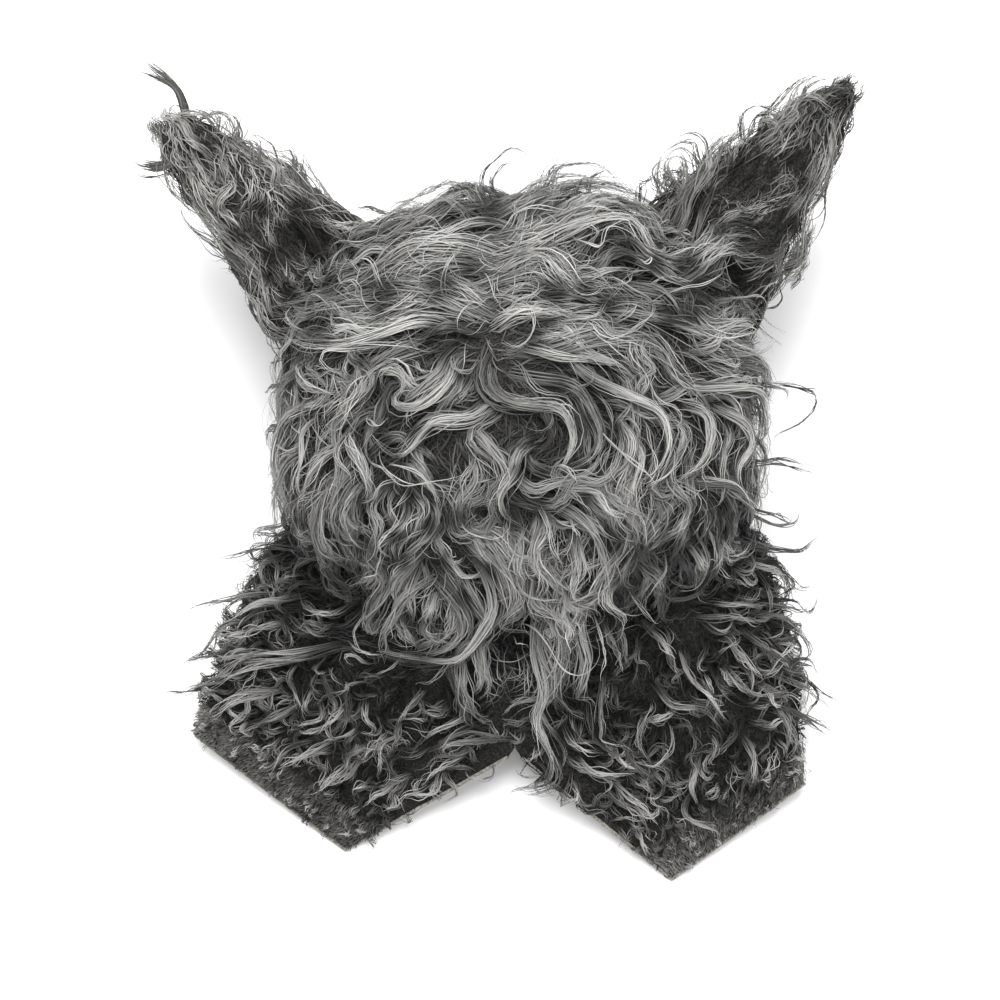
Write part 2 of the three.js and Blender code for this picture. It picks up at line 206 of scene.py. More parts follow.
def finish_piece(thing: bpy.types.Object, slot: Slot, material: bpy.types.Material, *nodes: str) -> None:
    """Dress a piece, tie it to the mask, and hide the solids that it stands for.

    Args:
        thing: The piece.
        slot: The record's slot. Not used.
        material: Its material.
        nodes: The solids that it replaces.
    """
    thing.data.materials.append(material)
    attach(thing, ROOT_BODY)
    if nodes:
        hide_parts(*nodes)
    log.info("%s: %d faces", thing.name, len(thing.data.polygons))


# Finishes

class NodeSheet:
    """A material's node tree, with short ways to add and join its nodes."""

    def __init__(self, name: str) -> None:
        """Start a material with its Principled shader and nothing else."""
        self.material = bpy.data.materials.new(name)
        self.material.use_nodes = True
        self.tree = self.material.node_tree
        self.shader = self.tree.nodes["Principled BSDF"]

    def add(self, kind: str, **settings: object) -> bpy.types.Node:
        """Add a node and set its properties, or its inputs where a name isn't a property."""
        node = self.tree.nodes.new(kind)
        for name, value in settings.items():
            if hasattr(node, name):
                setattr(node, name, value)
            else:
                node.inputs[name.replace("_", " ").title()].default_value = value
        return node

    def join(self, source: bpy.types.NodeSocket, target: bpy.types.NodeSocket) -> None:
        """Link an output to an input."""
        self.tree.links.new(source, target)

    def ramp(self, source: bpy.types.NodeSocket, stops: list[tuple[float, tuple]]) -> bpy.types.NodeSocket:
        """Colour a value by stops of place and colour, and return the colour."""
        ramp = self.add("ShaderNodeValToRGB")
        elements = ramp.color_ramp.elements
        while len(elements) < len(stops):
            elements.new(0.5)
        for element, (place, colour) in zip(elements, stops):
            element.position = place
            element.color = (*colour, 1.0)
        self.join(source, ramp.inputs["Fac"])
        return ramp.outputs["Color"]

    def multiply(self, a: bpy.types.NodeSocket, b: bpy.types.NodeSocket) -> bpy.types.NodeSocket:
        """Return the product of two colours."""
        node = self.add("ShaderNodeMix", data_type="RGBA", blend_type="MULTIPLY", factor=1.0)
        self.join(a, node.inputs["A"])
        self.join(b, node.inputs["B"])
        return node.outputs["Result"]

    def noise(self, scale: float, detail: float = 3.0) -> bpy.types.NodeSocket:
        """Return a noise in the mask's own frame, with scale in waves to the metre."""
        place = self.add("ShaderNodeTexCoord")
        noise = self.add("ShaderNodeTexNoise", scale=scale, detail=detail)
        self.join(place.outputs["Object"], noise.inputs["Vector"])
        return noise.outputs["Fac"]

    def bump(self, height: bpy.types.NodeSocket, strength: float, distance: float) -> None:
        """Turn a height into a bump on the shader, with distance in metres."""
        bump = self.add("ShaderNodeBump", strength=strength, distance=distance)
        self.join(height, bump.inputs["Height"])
        self.join(bump.outputs["Normal"], self.shader.inputs["Normal"])


@dataclass(frozen=True)
class HairFinish:
    """Hair whose tone is stored across the bake map and whose length runs up it."""

    name: str
    dark: tuple[float, float, float]
    middle: tuple[float, float, float]
    pale: tuple[float, float, float]
    # The painted shade's tone at the root, which other hair covers.
    root_shade: float = 0.22
    roughness: float = 0.55
    specular: float = 0.4
    sheen: float = 0.1

    def build(self) -> bpy.types.Material:
        """Return the material: its tone's colour, times a painted shade that lifts from the dark root to
        the tip.
        """
        sheet = NodeSheet(self.name)
        place = sheet.add("ShaderNodeUVMap", uv_map=BAKE_MAP)
        parts = sheet.add("ShaderNodeSeparateXYZ")
        sheet.join(place.outputs["UV"], parts.inputs["Vector"])
        tone = sheet.ramp(parts.outputs["X"], [(0.0, self.dark), (0.5, self.middle), (1.0, self.pale)])
        stretch = sheet.add("ShaderNodeMapping", scale=(130.0, 3.0, 1.0))
        sheet.join(place.outputs["UV"], stretch.inputs["Vector"])
        stripes = sheet.add("ShaderNodeTexNoise", scale=1.0, detail=1.0)
        sheet.join(stretch.outputs["Vector"], stripes.inputs["Vector"])
        streaks = sheet.ramp(stripes.outputs["Fac"], [(0.3, (0.8,) * 3), (0.7, (1.14,) * 3)])
        tone = sheet.multiply(tone, streaks)
        shades = [(0.0, self.root_shade), (0.3, 0.55), (0.62, 0.92), (1.0, 1.04)]
        shade = sheet.ramp(parts.outputs["Y"], [(share, (value,) * 3) for share, value in shades])
        sheet.join(sheet.multiply(tone, shade), sheet.shader.inputs["Base Color"])
        sheet.shader.inputs["Roughness"].default_value = self.roughness
        sheet.shader.inputs["Specular IOR Level"].default_value = self.specular
        sheet.shader.inputs["Sheen Weight"].default_value = self.sheen
        sheet.shader.inputs["Sheen Roughness"].default_value = 0.5
        return sheet.material


@dataclass(frozen=True)
class ClothFinish:
    """The cloth that the hair stands on: a dark felt outside or a pale knit inside."""

    name: str
    low: tuple[float, float, float]
    high: tuple[float, float, float]
    mottle: float = 60.0
    knit: float = 0.0  # stitches to the metre, none on felt
    specular: float = 0.5
    sheen: float = 0.15

    def build(self) -> bpy.types.Material:
        """Return the material: a mottled colour, with the stitches' bump and painted shade where it is
        knitted.
        """
        sheet = NodeSheet(self.name)
        colour = sheet.ramp(sheet.noise(self.mottle, 6.0), [(0.38, self.low), (0.62, self.high)])
        if self.knit:
            place = sheet.add("ShaderNodeTexCoord")
            waves = []
            for direction in ("X", "Y"):
                wave = sheet.add(
                    "ShaderNodeTexWave", bands_direction=direction, scale=self.knit, distortion=1.5,
                )
                sheet.join(place.outputs["Object"], wave.inputs["Vector"])
                waves.append(wave.outputs["Color"])
            stitches = sheet.multiply(*waves)
            # Painted shade in the stitches' grooves.
            shade = sheet.ramp(stitches, [(0.0, (0.7,) * 3), (0.6, (1.0,) * 3)])
            colour = sheet.multiply(colour, shade)
            sheet.bump(stitches, 0.6, 0.0006)
        else:
            sheet.bump(sheet.noise(900.0, 4.0), 0.5, 0.0012)
        sheet.join(colour, sheet.shader.inputs["Base Color"])
        sheet.shader.inputs["Roughness"].default_value = 0.92
        sheet.shader.inputs["Specular IOR Level"].default_value = self.specular
        sheet.shader.inputs["Sheen Weight"].default_value = self.sheen
        return sheet.material


@dataclass(frozen=True)
class LatexFinish:
    """Moulded latex with pores and brushed shading."""

    name: str
    low: tuple[float, float, float]
    high: tuple[float, float, float]
    roughness: float = 0.5

    def build(self) -> bpy.types.Material:
        """Return the material: a mottled dark colour, with pores and soft dimples as bump."""
        sheet = NodeSheet(self.name)
        colour = sheet.ramp(sheet.noise(55.0, 5.0), [(0.32, self.low), (0.68, self.high)])
        sheet.join(colour, sheet.shader.inputs["Base Color"])
        sheet.bump(sheet.noise(700.0, 6.0), 0.35, 0.0006)
        sheet.shader.inputs["Roughness"].default_value = self.roughness
        return sheet.material


# The mask's smooth forms

class Ground(ABC):
    """A surface that hair grows on and runs along. A place on it is a row of an array."""

    @abstractmethod
    def stand(self, places: Array) -> tuple[Array, Array, Array]:
        """Return the points, the outward normals and the hair's own direction at the places."""

    @abstractmethod
    def step(self, places: Array, way: Array) -> Array:
        """Return the places that the given ways, in millimetres, lead to along the surface."""


@dataclass(frozen=True)
class HeadForm(Ground):
    """The hood's skin, a superellipsoid with its own size and exponent towards each side."""

    centre: tuple[float, float, float] = (10.0, 12.0, 104.0)
    half_width: float = 147.0
    to_crown: float = 137.0
    to_nape: float = 134.0
    up: float = 132.0
    down: float = 120.0
    crown_plan: float = 2.4
    nape_plan: float = 2.9
    top_curve: float = 2.2
    bottom_curve: float = 3.4
    inset: float = 8.0  # the skin lies this far under the solid's face
    parting: float = -14.0  # where the hair parts on the crown

    def gauge(self, points: Array) -> Array:
        """Return how far out points lie: 1 on the skin, less inside it and more outside.

        In words: level is the n-th root of |x / a|^n + |y / b|^n in the plan, and the gauge is the
        u-th root of level^u + |z / c|^u in the upright section.
        """
        x, y, z = np.moveaxis(points - np.array(self.centre), -1, 0)
        towards_crown = y > 0
        plan = np.where(towards_crown, self.crown_plan, self.nape_plan)
        to_end = np.where(towards_crown, self.to_crown, self.to_nape) - self.inset
        from_middle = np.abs(x / (self.half_width - self.inset)) ** plan
        level = (from_middle + np.abs(y / to_end) ** plan) ** (1 / plan)
        upright = np.where(z > 0, self.top_curve, self.bottom_curve)
        height = np.where(z > 0, self.up, self.down) - self.inset
        return (level**upright + np.abs(z / height) ** upright) ** (1 / upright)

    def settle(self, points: Array) -> Array:
        """Return the points moved onto the skin along rays from its centre."""
        centre = np.array(self.centre)
        return centre + (points - centre) / np.maximum(self.gauge(points), 1e-6)[..., None]

    def normal(self, points: Array) -> Array:
        """Return outward normals, the gauge's gradient by central differences."""
        step = 0.5
        slopes = [
            self.gauge(points + step * axis) - self.gauge(points - step * axis) for axis in np.eye(3)
        ]
        return unit(np.stack(slopes, axis=-1))

    def stand(self, places: Array) -> tuple[Array, Array, Array]:
        """Return points, normals and flow. The hair leaves the parting to both sides near the
        crown, and runs down to the nape below the whorl."""
        normals = self.normal(places)
        x = places[..., 0] - self.parting
        above = smooth(places[..., 1] / 70.0)
        sideways = np.clip(x / 55.0, -1.5, 1.5) * mix(0.42, 1.0, above)
        flow = triple(sideways, -mix(1.0, 0.4, above), -0.8)
        return places, normals, unit(flow - dot(flow, normals) * normals)

    def step(self, places: Array, way: Array) -> Array:
        """Return the places moved along the way and settled on the skin again."""
        return self.settle(places + way)

    def ring_point(self, turn: Array, rise: Array, inset: float) -> Array:
        """Return points by angles: turn runs from +X towards +Y and rise from the underside up."""
        upright = np.where(rise > 0, self.top_curve, self.bottom_curve)
        level = signed_power(np.cos(rise), upright)
        height = signed_power(np.sin(rise), upright)
        towards_crown = np.sin(turn) > 0
        plan = np.where(towards_crown, self.crown_plan, self.nape_plan)
        to_end = np.where(towards_crown, self.to_crown, self.to_nape) - inset
        return triple(
            self.centre[0] + (self.half_width - inset) * level * signed_power(np.cos(turn), plan),
            self.centre[1] + to_end * level * signed_power(np.sin(turn), plan),
            self.centre[2] + (np.where(rise > 0, self.up, self.down) - inset) * height,
        )


@dataclass(frozen=True)
class SheetForm(Ground):
    """A surface of two parameters. Hair on it is traced in the parameters."""

    STEP = 1e-3  # of the parameters, for the slopes

    flow_across: float = 0.0  # the hair's direction along the first parameter, against 1 along the second

    @abstractmethod
    def surface(self, u: Array, v: Array) -> Array:
        """Return the skin's points at the parameters."""

    def slopes(self, places: Array) -> tuple[Array, Array]:
        """Return the surface's slopes along its two parameters, by central differences."""
        u, v = places[..., 0], places[..., 1]
        step = self.STEP
        along = (self.surface(u + step, v) - self.surface(u - step, v)) / (2 * step)
        down = (self.surface(u, v + step) - self.surface(u, v - step)) / (2 * step)
        return along, down

    def stand(self, places: Array) -> tuple[Array, Array, Array]:
        """Return points, normals, and the flow as a mix of the two parameters' directions."""
        along, down = self.slopes(places)
        normals = unit(np.cross(along, down))
        flow = unit(down) + self.flow_across * unit(along)
        return self.surface(places[..., 0], places[..., 1]), normals, unit(flow)

    def step(self, places: Array, way: Array) -> Array:
        """Return the parameters after a way, which solves along * du + down * dv = way."""
        along, down = self.slopes(places)
        aa, ad, dd = dot(along, along), dot(along, down), dot(down, down)
        wa, wd = dot(along, way), dot(down, way)
        det = np.maximum(aa * dd - ad**2, 1e-3)
        change = np.concatenate([wa * dd - wd * ad, wd * aa - wa * ad], axis=-1) / det
        return self.keep(places + np.clip(change, -0.2, 0.2))

    def keep(self, places: Array) -> Array:
        """Return the places kept to where the surface is defined."""
        return places


class Side(Enum):
    """The mask's two sides, as seen from behind."""

    LEFT = "left"
    RIGHT = "right"


@dataclass(frozen=True)
class NeckSide:
    """One side's own points of the neck."""

    fold: tuple[float, float, float]
    swing: tuple[float, float, float]
    corner: tuple[float, float, float]
    tip: tuple[float, float, float]


NECK_SIDES = {
    Side.LEFT: NeckSide((-116, -42, 92), (-158, -88, 66), (-188, -160, 13), (-95, -229, -1)),
    Side.RIGHT: NeckSide((136, -42, 92), (174, -88, 68), (184, -191, 13), (103, -247, -1)),
}


@dataclass(frozen=True)
class NeckForm(SheetForm):
    """One panel of the neck. Its first parameter, round, is 0 at the nape seam and the slit, 1 at
    the side fold and 2 under the throat, and its second runs from the head to the hem."""

    side: Side = Side.LEFT
    lift: float = 0.0  # how far over the backing's inner face
    nape_top: tuple[float, float, float] = (8.0, -88.0, 150.0)
    throat_top: tuple[float, float, float] = (8.0, -84.0, 26.0)
    notch: tuple[float, float, float] = (8.0, -176.0, 32.0)
    throat_hem: tuple[float, float, float] = (4.0, -150.0, 12.0)
    arch_power: float = 2.6
    notch_at: float = 0.5
    bulge: float = 9.0

    @property
    def hand(self) -> float:
        """Return 1 on the left, where the parameters' cross product points outward, or else -1."""
        return 1.0 if self.side is Side.LEFT else -1.0

    def edge(self, v: Array) -> Array:
        """Return the nape seam, which turns into the slit's edge at the notch."""
        ends = (self.nape_top, self.notch, NECK_SIDES[self.side].tip)
        top, notch, tip = (np.array(end, float) for end in ends)
        above = mix(top, notch, (v / self.notch_at)[..., None])
        below = mix(notch, tip, ((v - self.notch_at) / (1 - self.notch_at))[..., None])
        return np.where((v < self.notch_at)[..., None], above, below)

    def fold(self, v: Array) -> Array:
        """Return the side fold, a quadratic curve from under the hood to the hem's corner."""
        side = NECK_SIDES[self.side]
        a, b, c = (np.array(p, float) for p in (side.fold, side.swing, side.corner))
        v = v[..., None]
        return a * (1 - v) ** 2 + 2 * b * v * (1 - v) + c * v**2

    def arch(self, middle: tuple[float, float, float], t: Array) -> Array:
        """Return a quarter of the arch on the head, from a middle point to the fold."""
        fold = NECK_SIDES[self.side].fold
        angle = np.clip(t, 0.0, 1.0) * math.pi / 2
        return triple(
            mix(middle[0], fold[0], signed_power(np.sin(angle), self.arch_power)),
            mix(middle[1], fold[1], t),
            mix(fold[2], middle[2], signed_power(np.cos(angle), self.arch_power)),
        )

    @staticmethod
    def patch(
        top: Array, hem: Array, start: Array, end: Array, corners: tuple, u: Array, v: Array,
    ) -> Array:
        """Return a Coons patch: both pairs of edges blended, less the corners counted twice.

        Args:
            top: The edge's points where v is 0.
            hem: The edge's points where v is 1.
            start: The edge's points where u is 0.
            end: The edge's points where u is 1.
            corners: The corners where u and v are 0 and 0, 1 and 0, 0 and 1, 1 and 1.
            u: Places from start to end.
            v: Places from top to hem.

        Returns:
            One point for each place.
        """
        u, v = u[..., None], v[..., None]
        a, b, c, d = corners
        twice = a * (1 - u) * (1 - v) + b * u * (1 - v) + c * (1 - u) * v + d * u * v
        return start * (1 - u) + end * u + top * (1 - v) + hem * v - twice

    def inner(self, turn: Array, v: Array) -> Array:
        """Return the backing's inner face."""
        side = NECK_SIDES[self.side]
        nape_top, throat_top, throat_hem, tip, corner, fold = (
            np.array(p, float)
            for p in (self.nape_top, self.throat_top, self.throat_hem, side.tip, side.corner, side.fold)
        )
        outward = -self.hand
        u = np.clip(turn, 0.0, 1.0)
        back = self.patch(
            self.arch(self.nape_top, u), mix(tip, corner, u[..., None]), self.edge(v), self.fold(v),
            (nape_top, fold, tip, corner), u, v,
        )
        puff = np.sin(math.pi * u) * np.sin(math.pi * np.clip(v, 0.0, 1.0))
        back[..., 2] += self.bulge * puff + 3 * puff * np.sin(TAU * (1.5 * u + v))
        back[..., 0] += outward * 3 * puff
        w = np.clip(turn - 1.0, 0.0, 1.0)
        under = self.patch(
            self.arch(self.throat_top, 1 - w), mix(corner, throat_hem, w[..., None]),
            self.fold(v), mix(throat_top, throat_hem, v[..., None]),
            (fold, throat_top, corner, throat_hem), w, v,
        )
        point = np.where((turn <= 1)[..., None], back, under)
        beside_seam = 1 - smooth(np.minimum(u, 1 - w) / 0.1)
        point[..., 0] += outward * 0.2 * beside_seam
        return point

    def surface(self, u: Array, v: Array) -> Array:
        """Return the inner face lifted along its normal, which is kept upright at the seams."""
        step = self.STEP
        u0, u1 = np.clip(u - step, 0.0, 2.0), np.clip(u + step, 0.0, 2.0)
        along = self.inner(u1, v) - self.inner(u0, v)
        down = self.inner(u, v + step) - self.inner(u, v - step)
        normal = unit(np.cross(along, down)) * self.hand
        normal[..., 0] *= smooth(np.minimum(u, 2 - u) / 0.12)
        point = self.inner(u, v) + unit(normal) * self.lift
        point[..., 2] = np.maximum(point[..., 2], 0.4)
        return point

    def stand(self, places: Array) -> tuple[Array, Array, Array]:
        """Return points, normals and flow, with the normals turned out of the panel."""
        points, normals, flow = super().stand(places)
        return points, normals * self.hand, flow

    def keep(self, places: Array) -> Array:
        """Return the places kept between the seams and a little past the hem."""
        return np.clip(places, [0.0, 0.0], [2.0, 1.0])


@dataclass(frozen=True)
class EarShape:
    """One ear's own sizes."""

    root: tuple[float, float, float]
    tip: tuple[float, float, float]
    inward: float
    outward: float
    bluntness: float


EAR_SHAPES = {
    Side.LEFT: EarShape((-96, 80, 118), (-210, 200, 134), 58, 52, 0.26),
    Side.RIGHT: EarShape((106, 88, 118), (218, 225, 134), 62, 58, 0.16),
}


@dataclass(frozen=True)
class EarForm(SheetForm):
    """One cupped ear, across and from root to tip. Level is the share of its thickness: 0 is the
    hollow side that faces the floor and 1 the full back."""

    side: Side = Side.LEFT
    level: float = 1.0
    thickness: float = 14.0
    cup: float = 17.0

    def middle(self, u: Array, v: Array) -> Array:
        """Return the hollow face. The ear narrows to its tip and arches across by 1 - side^2."""
        shape = EAR_SHAPES[self.side]
        root, tip = np.array(shape.root, float), np.array(shape.tip, float)
        axis = tip - root
        across = unit(np.cross([0.0, 0.0, 1.0], axis))
        back = unit(np.cross(axis, across))
        side = mix(-1.0, 1.0, u)
        v01 = np.clip(v, 0.0, 1.0)
        taper = mix(1.0, shape.bluntness, v01**0.85) * np.sqrt(1 - smooth((v01 - 0.86) / 0.14) * 0.85)
        reach = np.where(side * axis[0] > 0, shape.inward, shape.outward)
        arch = self.cup * taper * (1 - side**2) + 7.0 * np.sin(math.pi * v01)
        sideways = across * (side * reach * taper)[..., None]
        return root + axis * v[..., None] + sideways + back * arch[..., None]

    def surface(self, u: Array, v: Array) -> Array:
        """Return the hollow face lifted by the ear's thickness there times the level."""
        step = self.STEP
        along = self.middle(u + step, v) - self.middle(u - step, v)
        down = self.middle(u, v + step) - self.middle(u, v - step)
        normal = unit(np.cross(along, down))
        side = np.abs(mix(-1.0, 1.0, u))
        depth = self.thickness * np.sqrt(np.maximum(1.08 - side**2, 0.02)) * mix(1.0, 0.6, v)
        return self.middle(u, v) + normal * (depth * self.level)[..., None]

    def stand(self, places: Array) -> tuple[Array, Array, Array]:
        """Return points, normals and flow. The normals of the hollow face point down."""
        points, normals, flow = super().stand(places)
        return points, normals * (1.0 if self.level > 0.5 else -1.0), flow

    def keep(self, places: Array) -> Array:
        """Return the places kept between the ear's edges and a little past its tip."""
        return np.clip(places, [0.0, 0.0], [1.0, 1.05])


@dataclass(frozen=True)
class TopForm(SheetForm):
    """The mask's whole upper side as one height over the floor, which falls no steeper than hair
    hangs. Drawn locks lie on it, and so does the hair that falls from the hood over the neck."""

    STEEPEST = 1.7
    STEP = 0.06  # two pitches of the grid, in hundreds of millimetres

    west: float = -255.0
    south: float = -300.0
    pitch: float = 3.0
    heights: Array | None = None

    @classmethod
    def over(cls, head: HeadForm, sheets: list[SheetForm]) -> "TopForm":
        """Return the form over the head and the sheets, whose first parameter counts up to 1."""
        ground = cls()
        columns, rows = 172, 194
        grid_x, grid_y = np.meshgrid(
            ground.west + ground.pitch * np.arange(columns), ground.south + ground.pitch * np.arange(rows)
        )
        heights = np.zeros((rows, columns))
        for sheet in sheets:
            u, v = np.meshgrid(np.linspace(0.0, 1.0, 500), np.linspace(0.0, 1.0, 400))
            points = sheet.surface(u, v).reshape(-1, 3)
            column = np.rint((points[:, 0] - ground.west) / ground.pitch).astype(int)
            row = np.rint((points[:, 1] - ground.south) / ground.pitch).astype(int)
            np.maximum.at(heights, (row, column), points[:, 2])
        heights = np.maximum(heights, cls.dome_height(head, grid_x, grid_y))
        for _ in range(24):
            for axis, way in ((0, 1), (0, -1), (1, 1), (1, -1)):
                heights = np.maximum(heights, np.roll(heights, way, axis) - cls.STEEPEST * ground.pitch)
        return cls(heights=cls.blur(heights, 1))

    @staticmethod
    def dome_height(head: HeadForm, x: Array, y: Array) -> Array:
        """Return the head's upper skin over each point of the floor, 0 beside the head."""
        level = head.gauge(triple(x, y, head.centre[2]))
        rise = np.maximum(1 - level**head.top_curve, 0.0) ** (1 / head.top_curve)
        return np.where(level < 1, head.centre[2] + (head.up - head.inset) * rise, 0.0)

    @staticmethod
    def blur(values: Array, reach: int) -> Array:
        """Return the values averaged over a square of the given reach."""
        for axis in (0, 1):
            total = sum(np.roll(values, shift, axis) for shift in range(-reach, reach + 1))
            values = total / (2 * reach + 1)
        return values

    def height(self, x: Array, y: Array) -> Array:
        """Return the height over floor points, between the grid's by bilinear blending."""
        rows, columns = self.heights.shape
        column = np.clip((x - self.west) / self.pitch, 0, columns - 2)
        row = np.clip((y - self.south) / self.pitch, 0, rows - 2)
        i, j = row.astype(int), column.astype(int)
        h = self.heights
        low = mix(h[i, j], h[i, j + 1], column - j)
        high = mix(h[i + 1, j], h[i + 1, j + 1], column - j)
        return mix(low, high, row - i)

    def surface(self, u: Array, v: Array) -> Array:
        """Return the point above the floor point (u, v), in hundreds of millimetres."""
        return triple(100.0 * u, 100.0 * v, self.height(100.0 * u, 100.0 * v))

    def stand(self, places: Array) -> tuple[Array, Array, Array]:
        """Return points, normals and flow, which runs to the nape and spreads to both sides."""
        along, down = self.slopes(places)
        normals = unit(np.cross(along, down))
        points = self.surface(places[..., 0], places[..., 1])
        way = triple((points[..., 0] - 8.0) / 150.0 * 0.45, -1.0, -0.5)
        return points, normals, unit(way - dot(way, normals) * normals)


# The camera's view and the comb

@dataclass(frozen=True)
class Picture:
    """The camera's view from behind and above. Its places run right and down over a square whose
    side is a thousand."""

    SIDE = 1000.0  # places across the picture

    aim: tuple[float, float, float] = (-1.0, -37.0, 94.0)
    elevation: float = 70.0
    distance: float = 1300.0
    lens: float = 78.0
    sensor: float = 36.0

    def axes(self) -> Array:
        """Return the ways right, up and back towards the camera."""
        angle = math.radians(self.elevation)
        return np.array([
            (1.0, 0.0, 0.0),
            (0.0, math.sin(angle), math.cos(angle)),
            (0.0, -math.cos(angle), math.sin(angle)),
        ])

    def place(self) -> Array:
        """Return the camera's place."""
        return np.array(self.aim) + self.distance * self.axes()[2]

    def pixel(self) -> float:
        """Return the millimetres across one place of the picture, at the aim's distance."""
        return self.distance * self.sensor / self.lens / self.SIDE

    def project(self, points: Array) -> Array:
        """Return where points are seen."""
        right, up, back = np.moveaxis((points - self.place()) @ self.axes().T, -1, 0)
        scale = self.SIDE * self.lens / self.sensor / -back
        middle = self.SIDE / 2
        return np.stack([middle + scale * right, middle - scale * up], axis=-1)

    def drop(self, seen: Array, ground: TopForm, least: Array | float) -> Array:
        """Return the points of the ground that are seen at the given places.

        Each ray is followed to a guessed height, which moves halfway to the ground's height there,
        over and over.

        Args:
            seen: Places in the picture.
            ground: The mask's upper side.
            least: The lowest height, for hair that stands off past an edge.

        Returns:
            One point for each place.
        """
        focal = self.SIDE * self.lens / self.sensor
        axes = self.axes()
        flat = seen - self.SIDE / 2
        ways = flat[..., :1] * axes[0] - flat[..., 1:] * axes[1] - focal * axes[2]
        camera = self.place()
        height = np.full(seen.shape[:-1], 100.0)
        for _ in range(24):
            points = camera + ways * ((height - camera[2]) / ways[..., 2])[..., None]
            height = mix(height, np.maximum(ground.height(points[..., 0], points[..., 1]), least), 0.5)
        return points

    def stand_up(self, ways: Array, normals: Array) -> Array:
        """Return the ways along the surfaces with the given normals that are seen as the flat ways."""
        axes = self.axes()
        flat = ways[..., :1] * axes[0] - ways[..., 1:] * axes[1]
        lean = -dot(flat, normals) / np.maximum(dot(normals, axes[2]), 0.25)
        return unit(flat + np.clip(lean, -1.5, 1.5) * axes[2])


class Comb:
    """The way that the hair lies and how deep, as the camera sees it; the depth sets a painted shade.

    The way is the sum of the drawn strokes' own ways, each of which fades by
    exp(-(distance / reach)^2). The depth is 1.6 times the nearest hollow's own fading value, cut at
    one, less half of the nearest matted spot's.
    """

    CELL = 10.0
    REACH = 19.0
    FINE_CELL = 4.0

    def __init__(self, picture: Picture, strokes: tuple, hollows: tuple, matted: tuple) -> None:
        """Work the comb out on square grids.

        Args:
            picture: The camera's view.
            strokes: Strokes of three or more places each.
            hollows: The hollows' places and reaches.
            matted: The matted spots' places and reaches.
        """
        self.picture = picture
        side = np.arange(0.0, picture.SIDE + self.FINE_CELL, self.FINE_CELL)
        grid = np.stack(np.meshgrid(side, side), axis=-1)[:, :, None]
        deep, flat = (
            np.exp(-((grid - marks[:, :2]) ** 2).sum(axis=-1) / marks[:, 2] ** 2).max(axis=-1)
            for marks in (np.array(hollows, float), np.array(matted, float))
        )
        # Painted shade: deepest in the hollows, lifted paler on the matted spots.
        self.depths = np.minimum(1.6 * deep, 1.0) - 0.5 * flat
        places, ways = [], []
        for stroke in strokes:
            marks = stroke_points(stroke)
            points = curve_through(marks, np.linspace(0.0, 1.0, 6 * len(marks)))
            places.append((points[1:] + points[:-1]) / 2)
            ways.append(points[1:] - points[:-1])
        places, ways = np.concatenate(places), np.concatenate(ways)
        side = np.arange(0.0, picture.SIDE + self.CELL, self.CELL)
        grid = np.stack(np.meshgrid(side, side), axis=-1)
        apart = ((grid[:, :, None] - places) ** 2).sum(axis=-1)
        weights = np.exp(-apart / self.REACH**2)
        self.ways = weights @ ways
        self.ways /= (weights @ np.linalg.norm(ways, axis=-1))[..., None] + 3.0

    def depth(self, points: Array) -> Array:
        """Return how deep each point lies, for its painted shade: 1 in a hollow to -0.5 on a matted spot.
        """
        seen = np.clip(self.picture.project(points) / self.FINE_CELL, 0.0, len(self.depths) - 1.0)
        column, row = np.moveaxis(np.rint(seen).astype(int), -1, 0)
        return self.depths[row, column]

    def turned(self, points: Array, normals: Array, flow: Array) -> Array:
        """Return the flow turned to the comb's way, wholly where strokes are near and in full view."""
        seen = np.clip(self.picture.project(points) / self.CELL, 0.0, len(self.ways) - 1.001)
        column, row = np.moveaxis(seen.astype(int), -1, 0)
        fx, fy = (seen[..., 0] - column)[..., None], (seen[..., 1] - row)[..., None]
        low = mix(self.ways[row, column], self.ways[row, column + 1], fx)
        high = mix(self.ways[row + 1, column], self.ways[row + 1, column + 1], fx)
        ways = mix(low, high, fy)
        strength = np.linalg.norm(ways, axis=-1, keepdims=True)
        facing = smooth(dot(normals, self.picture.axes()[2]) / 0.45)
        target = self.picture.stand_up(ways / np.maximum(strength, 1e-6), normals)
        return unit(mix(flow, target, np.clip(1.5 * strength, 0.0, 1.0) * facing))


# Hair

@dataclass(frozen=True)
class LockStyle:
    """How a kind of lock is shaped. Lengths are in millimetres and angles in radians."""

    length: tuple[float, float] = (60.0, 60.0)
    strands: int = 20
    radius: float = 4.0  # half the lock's width
    tip_share: float = 0.3  # of that width, left at the tip
    thickness: float = 3.0  # of the lock, over the skin
    lift: tuple[float, float] = (3.0, 10.0)  # height over the skin, from the lowest lock to the highest
    tip_lift: float = 0.0  # further height that the tip gains
    root_depth: float = 1.0  # how far under the skin it starts
    swing: tuple[float, float] = (0.3, 0.6)  # of the heading in each wave
    wave: tuple[float, float] = (38.0, 60.0)
    curl: float = 1.0  # further turn of the heading at the tip
    scatter: float = 0.3  # between one lock's heading and the next one's
    roll: float = 1.05  # of a hair to the side, at the edge of its lock
    sway: float = 0.8  # of a hair about its own place in the lock
    width: float = 0.6
    spread: float = 0.0015  # of the bake map that a hair's width takes up
    shade_start: float = 0.004  # place of the root on the painted shade that lifts from root to tip
    steps: int = 12
    loose: float = 0.12  # share of the strands that leave the lock
    tone: tuple[float, float] = (0.2, 0.75)
    patches: float = 0.0  # change of tone between darker and paler patches of hair
    shaded: float = 0.5  # painted shade: the loss of tone where a hollow is deepest
    echoes: int = 0  # further locks beside each drawn one
    echo_reach: float = 9.0  # how far they lie from it, as the camera sees it
    keep_up: float = 0.0  # share of its root's height that a drawn lock never falls under


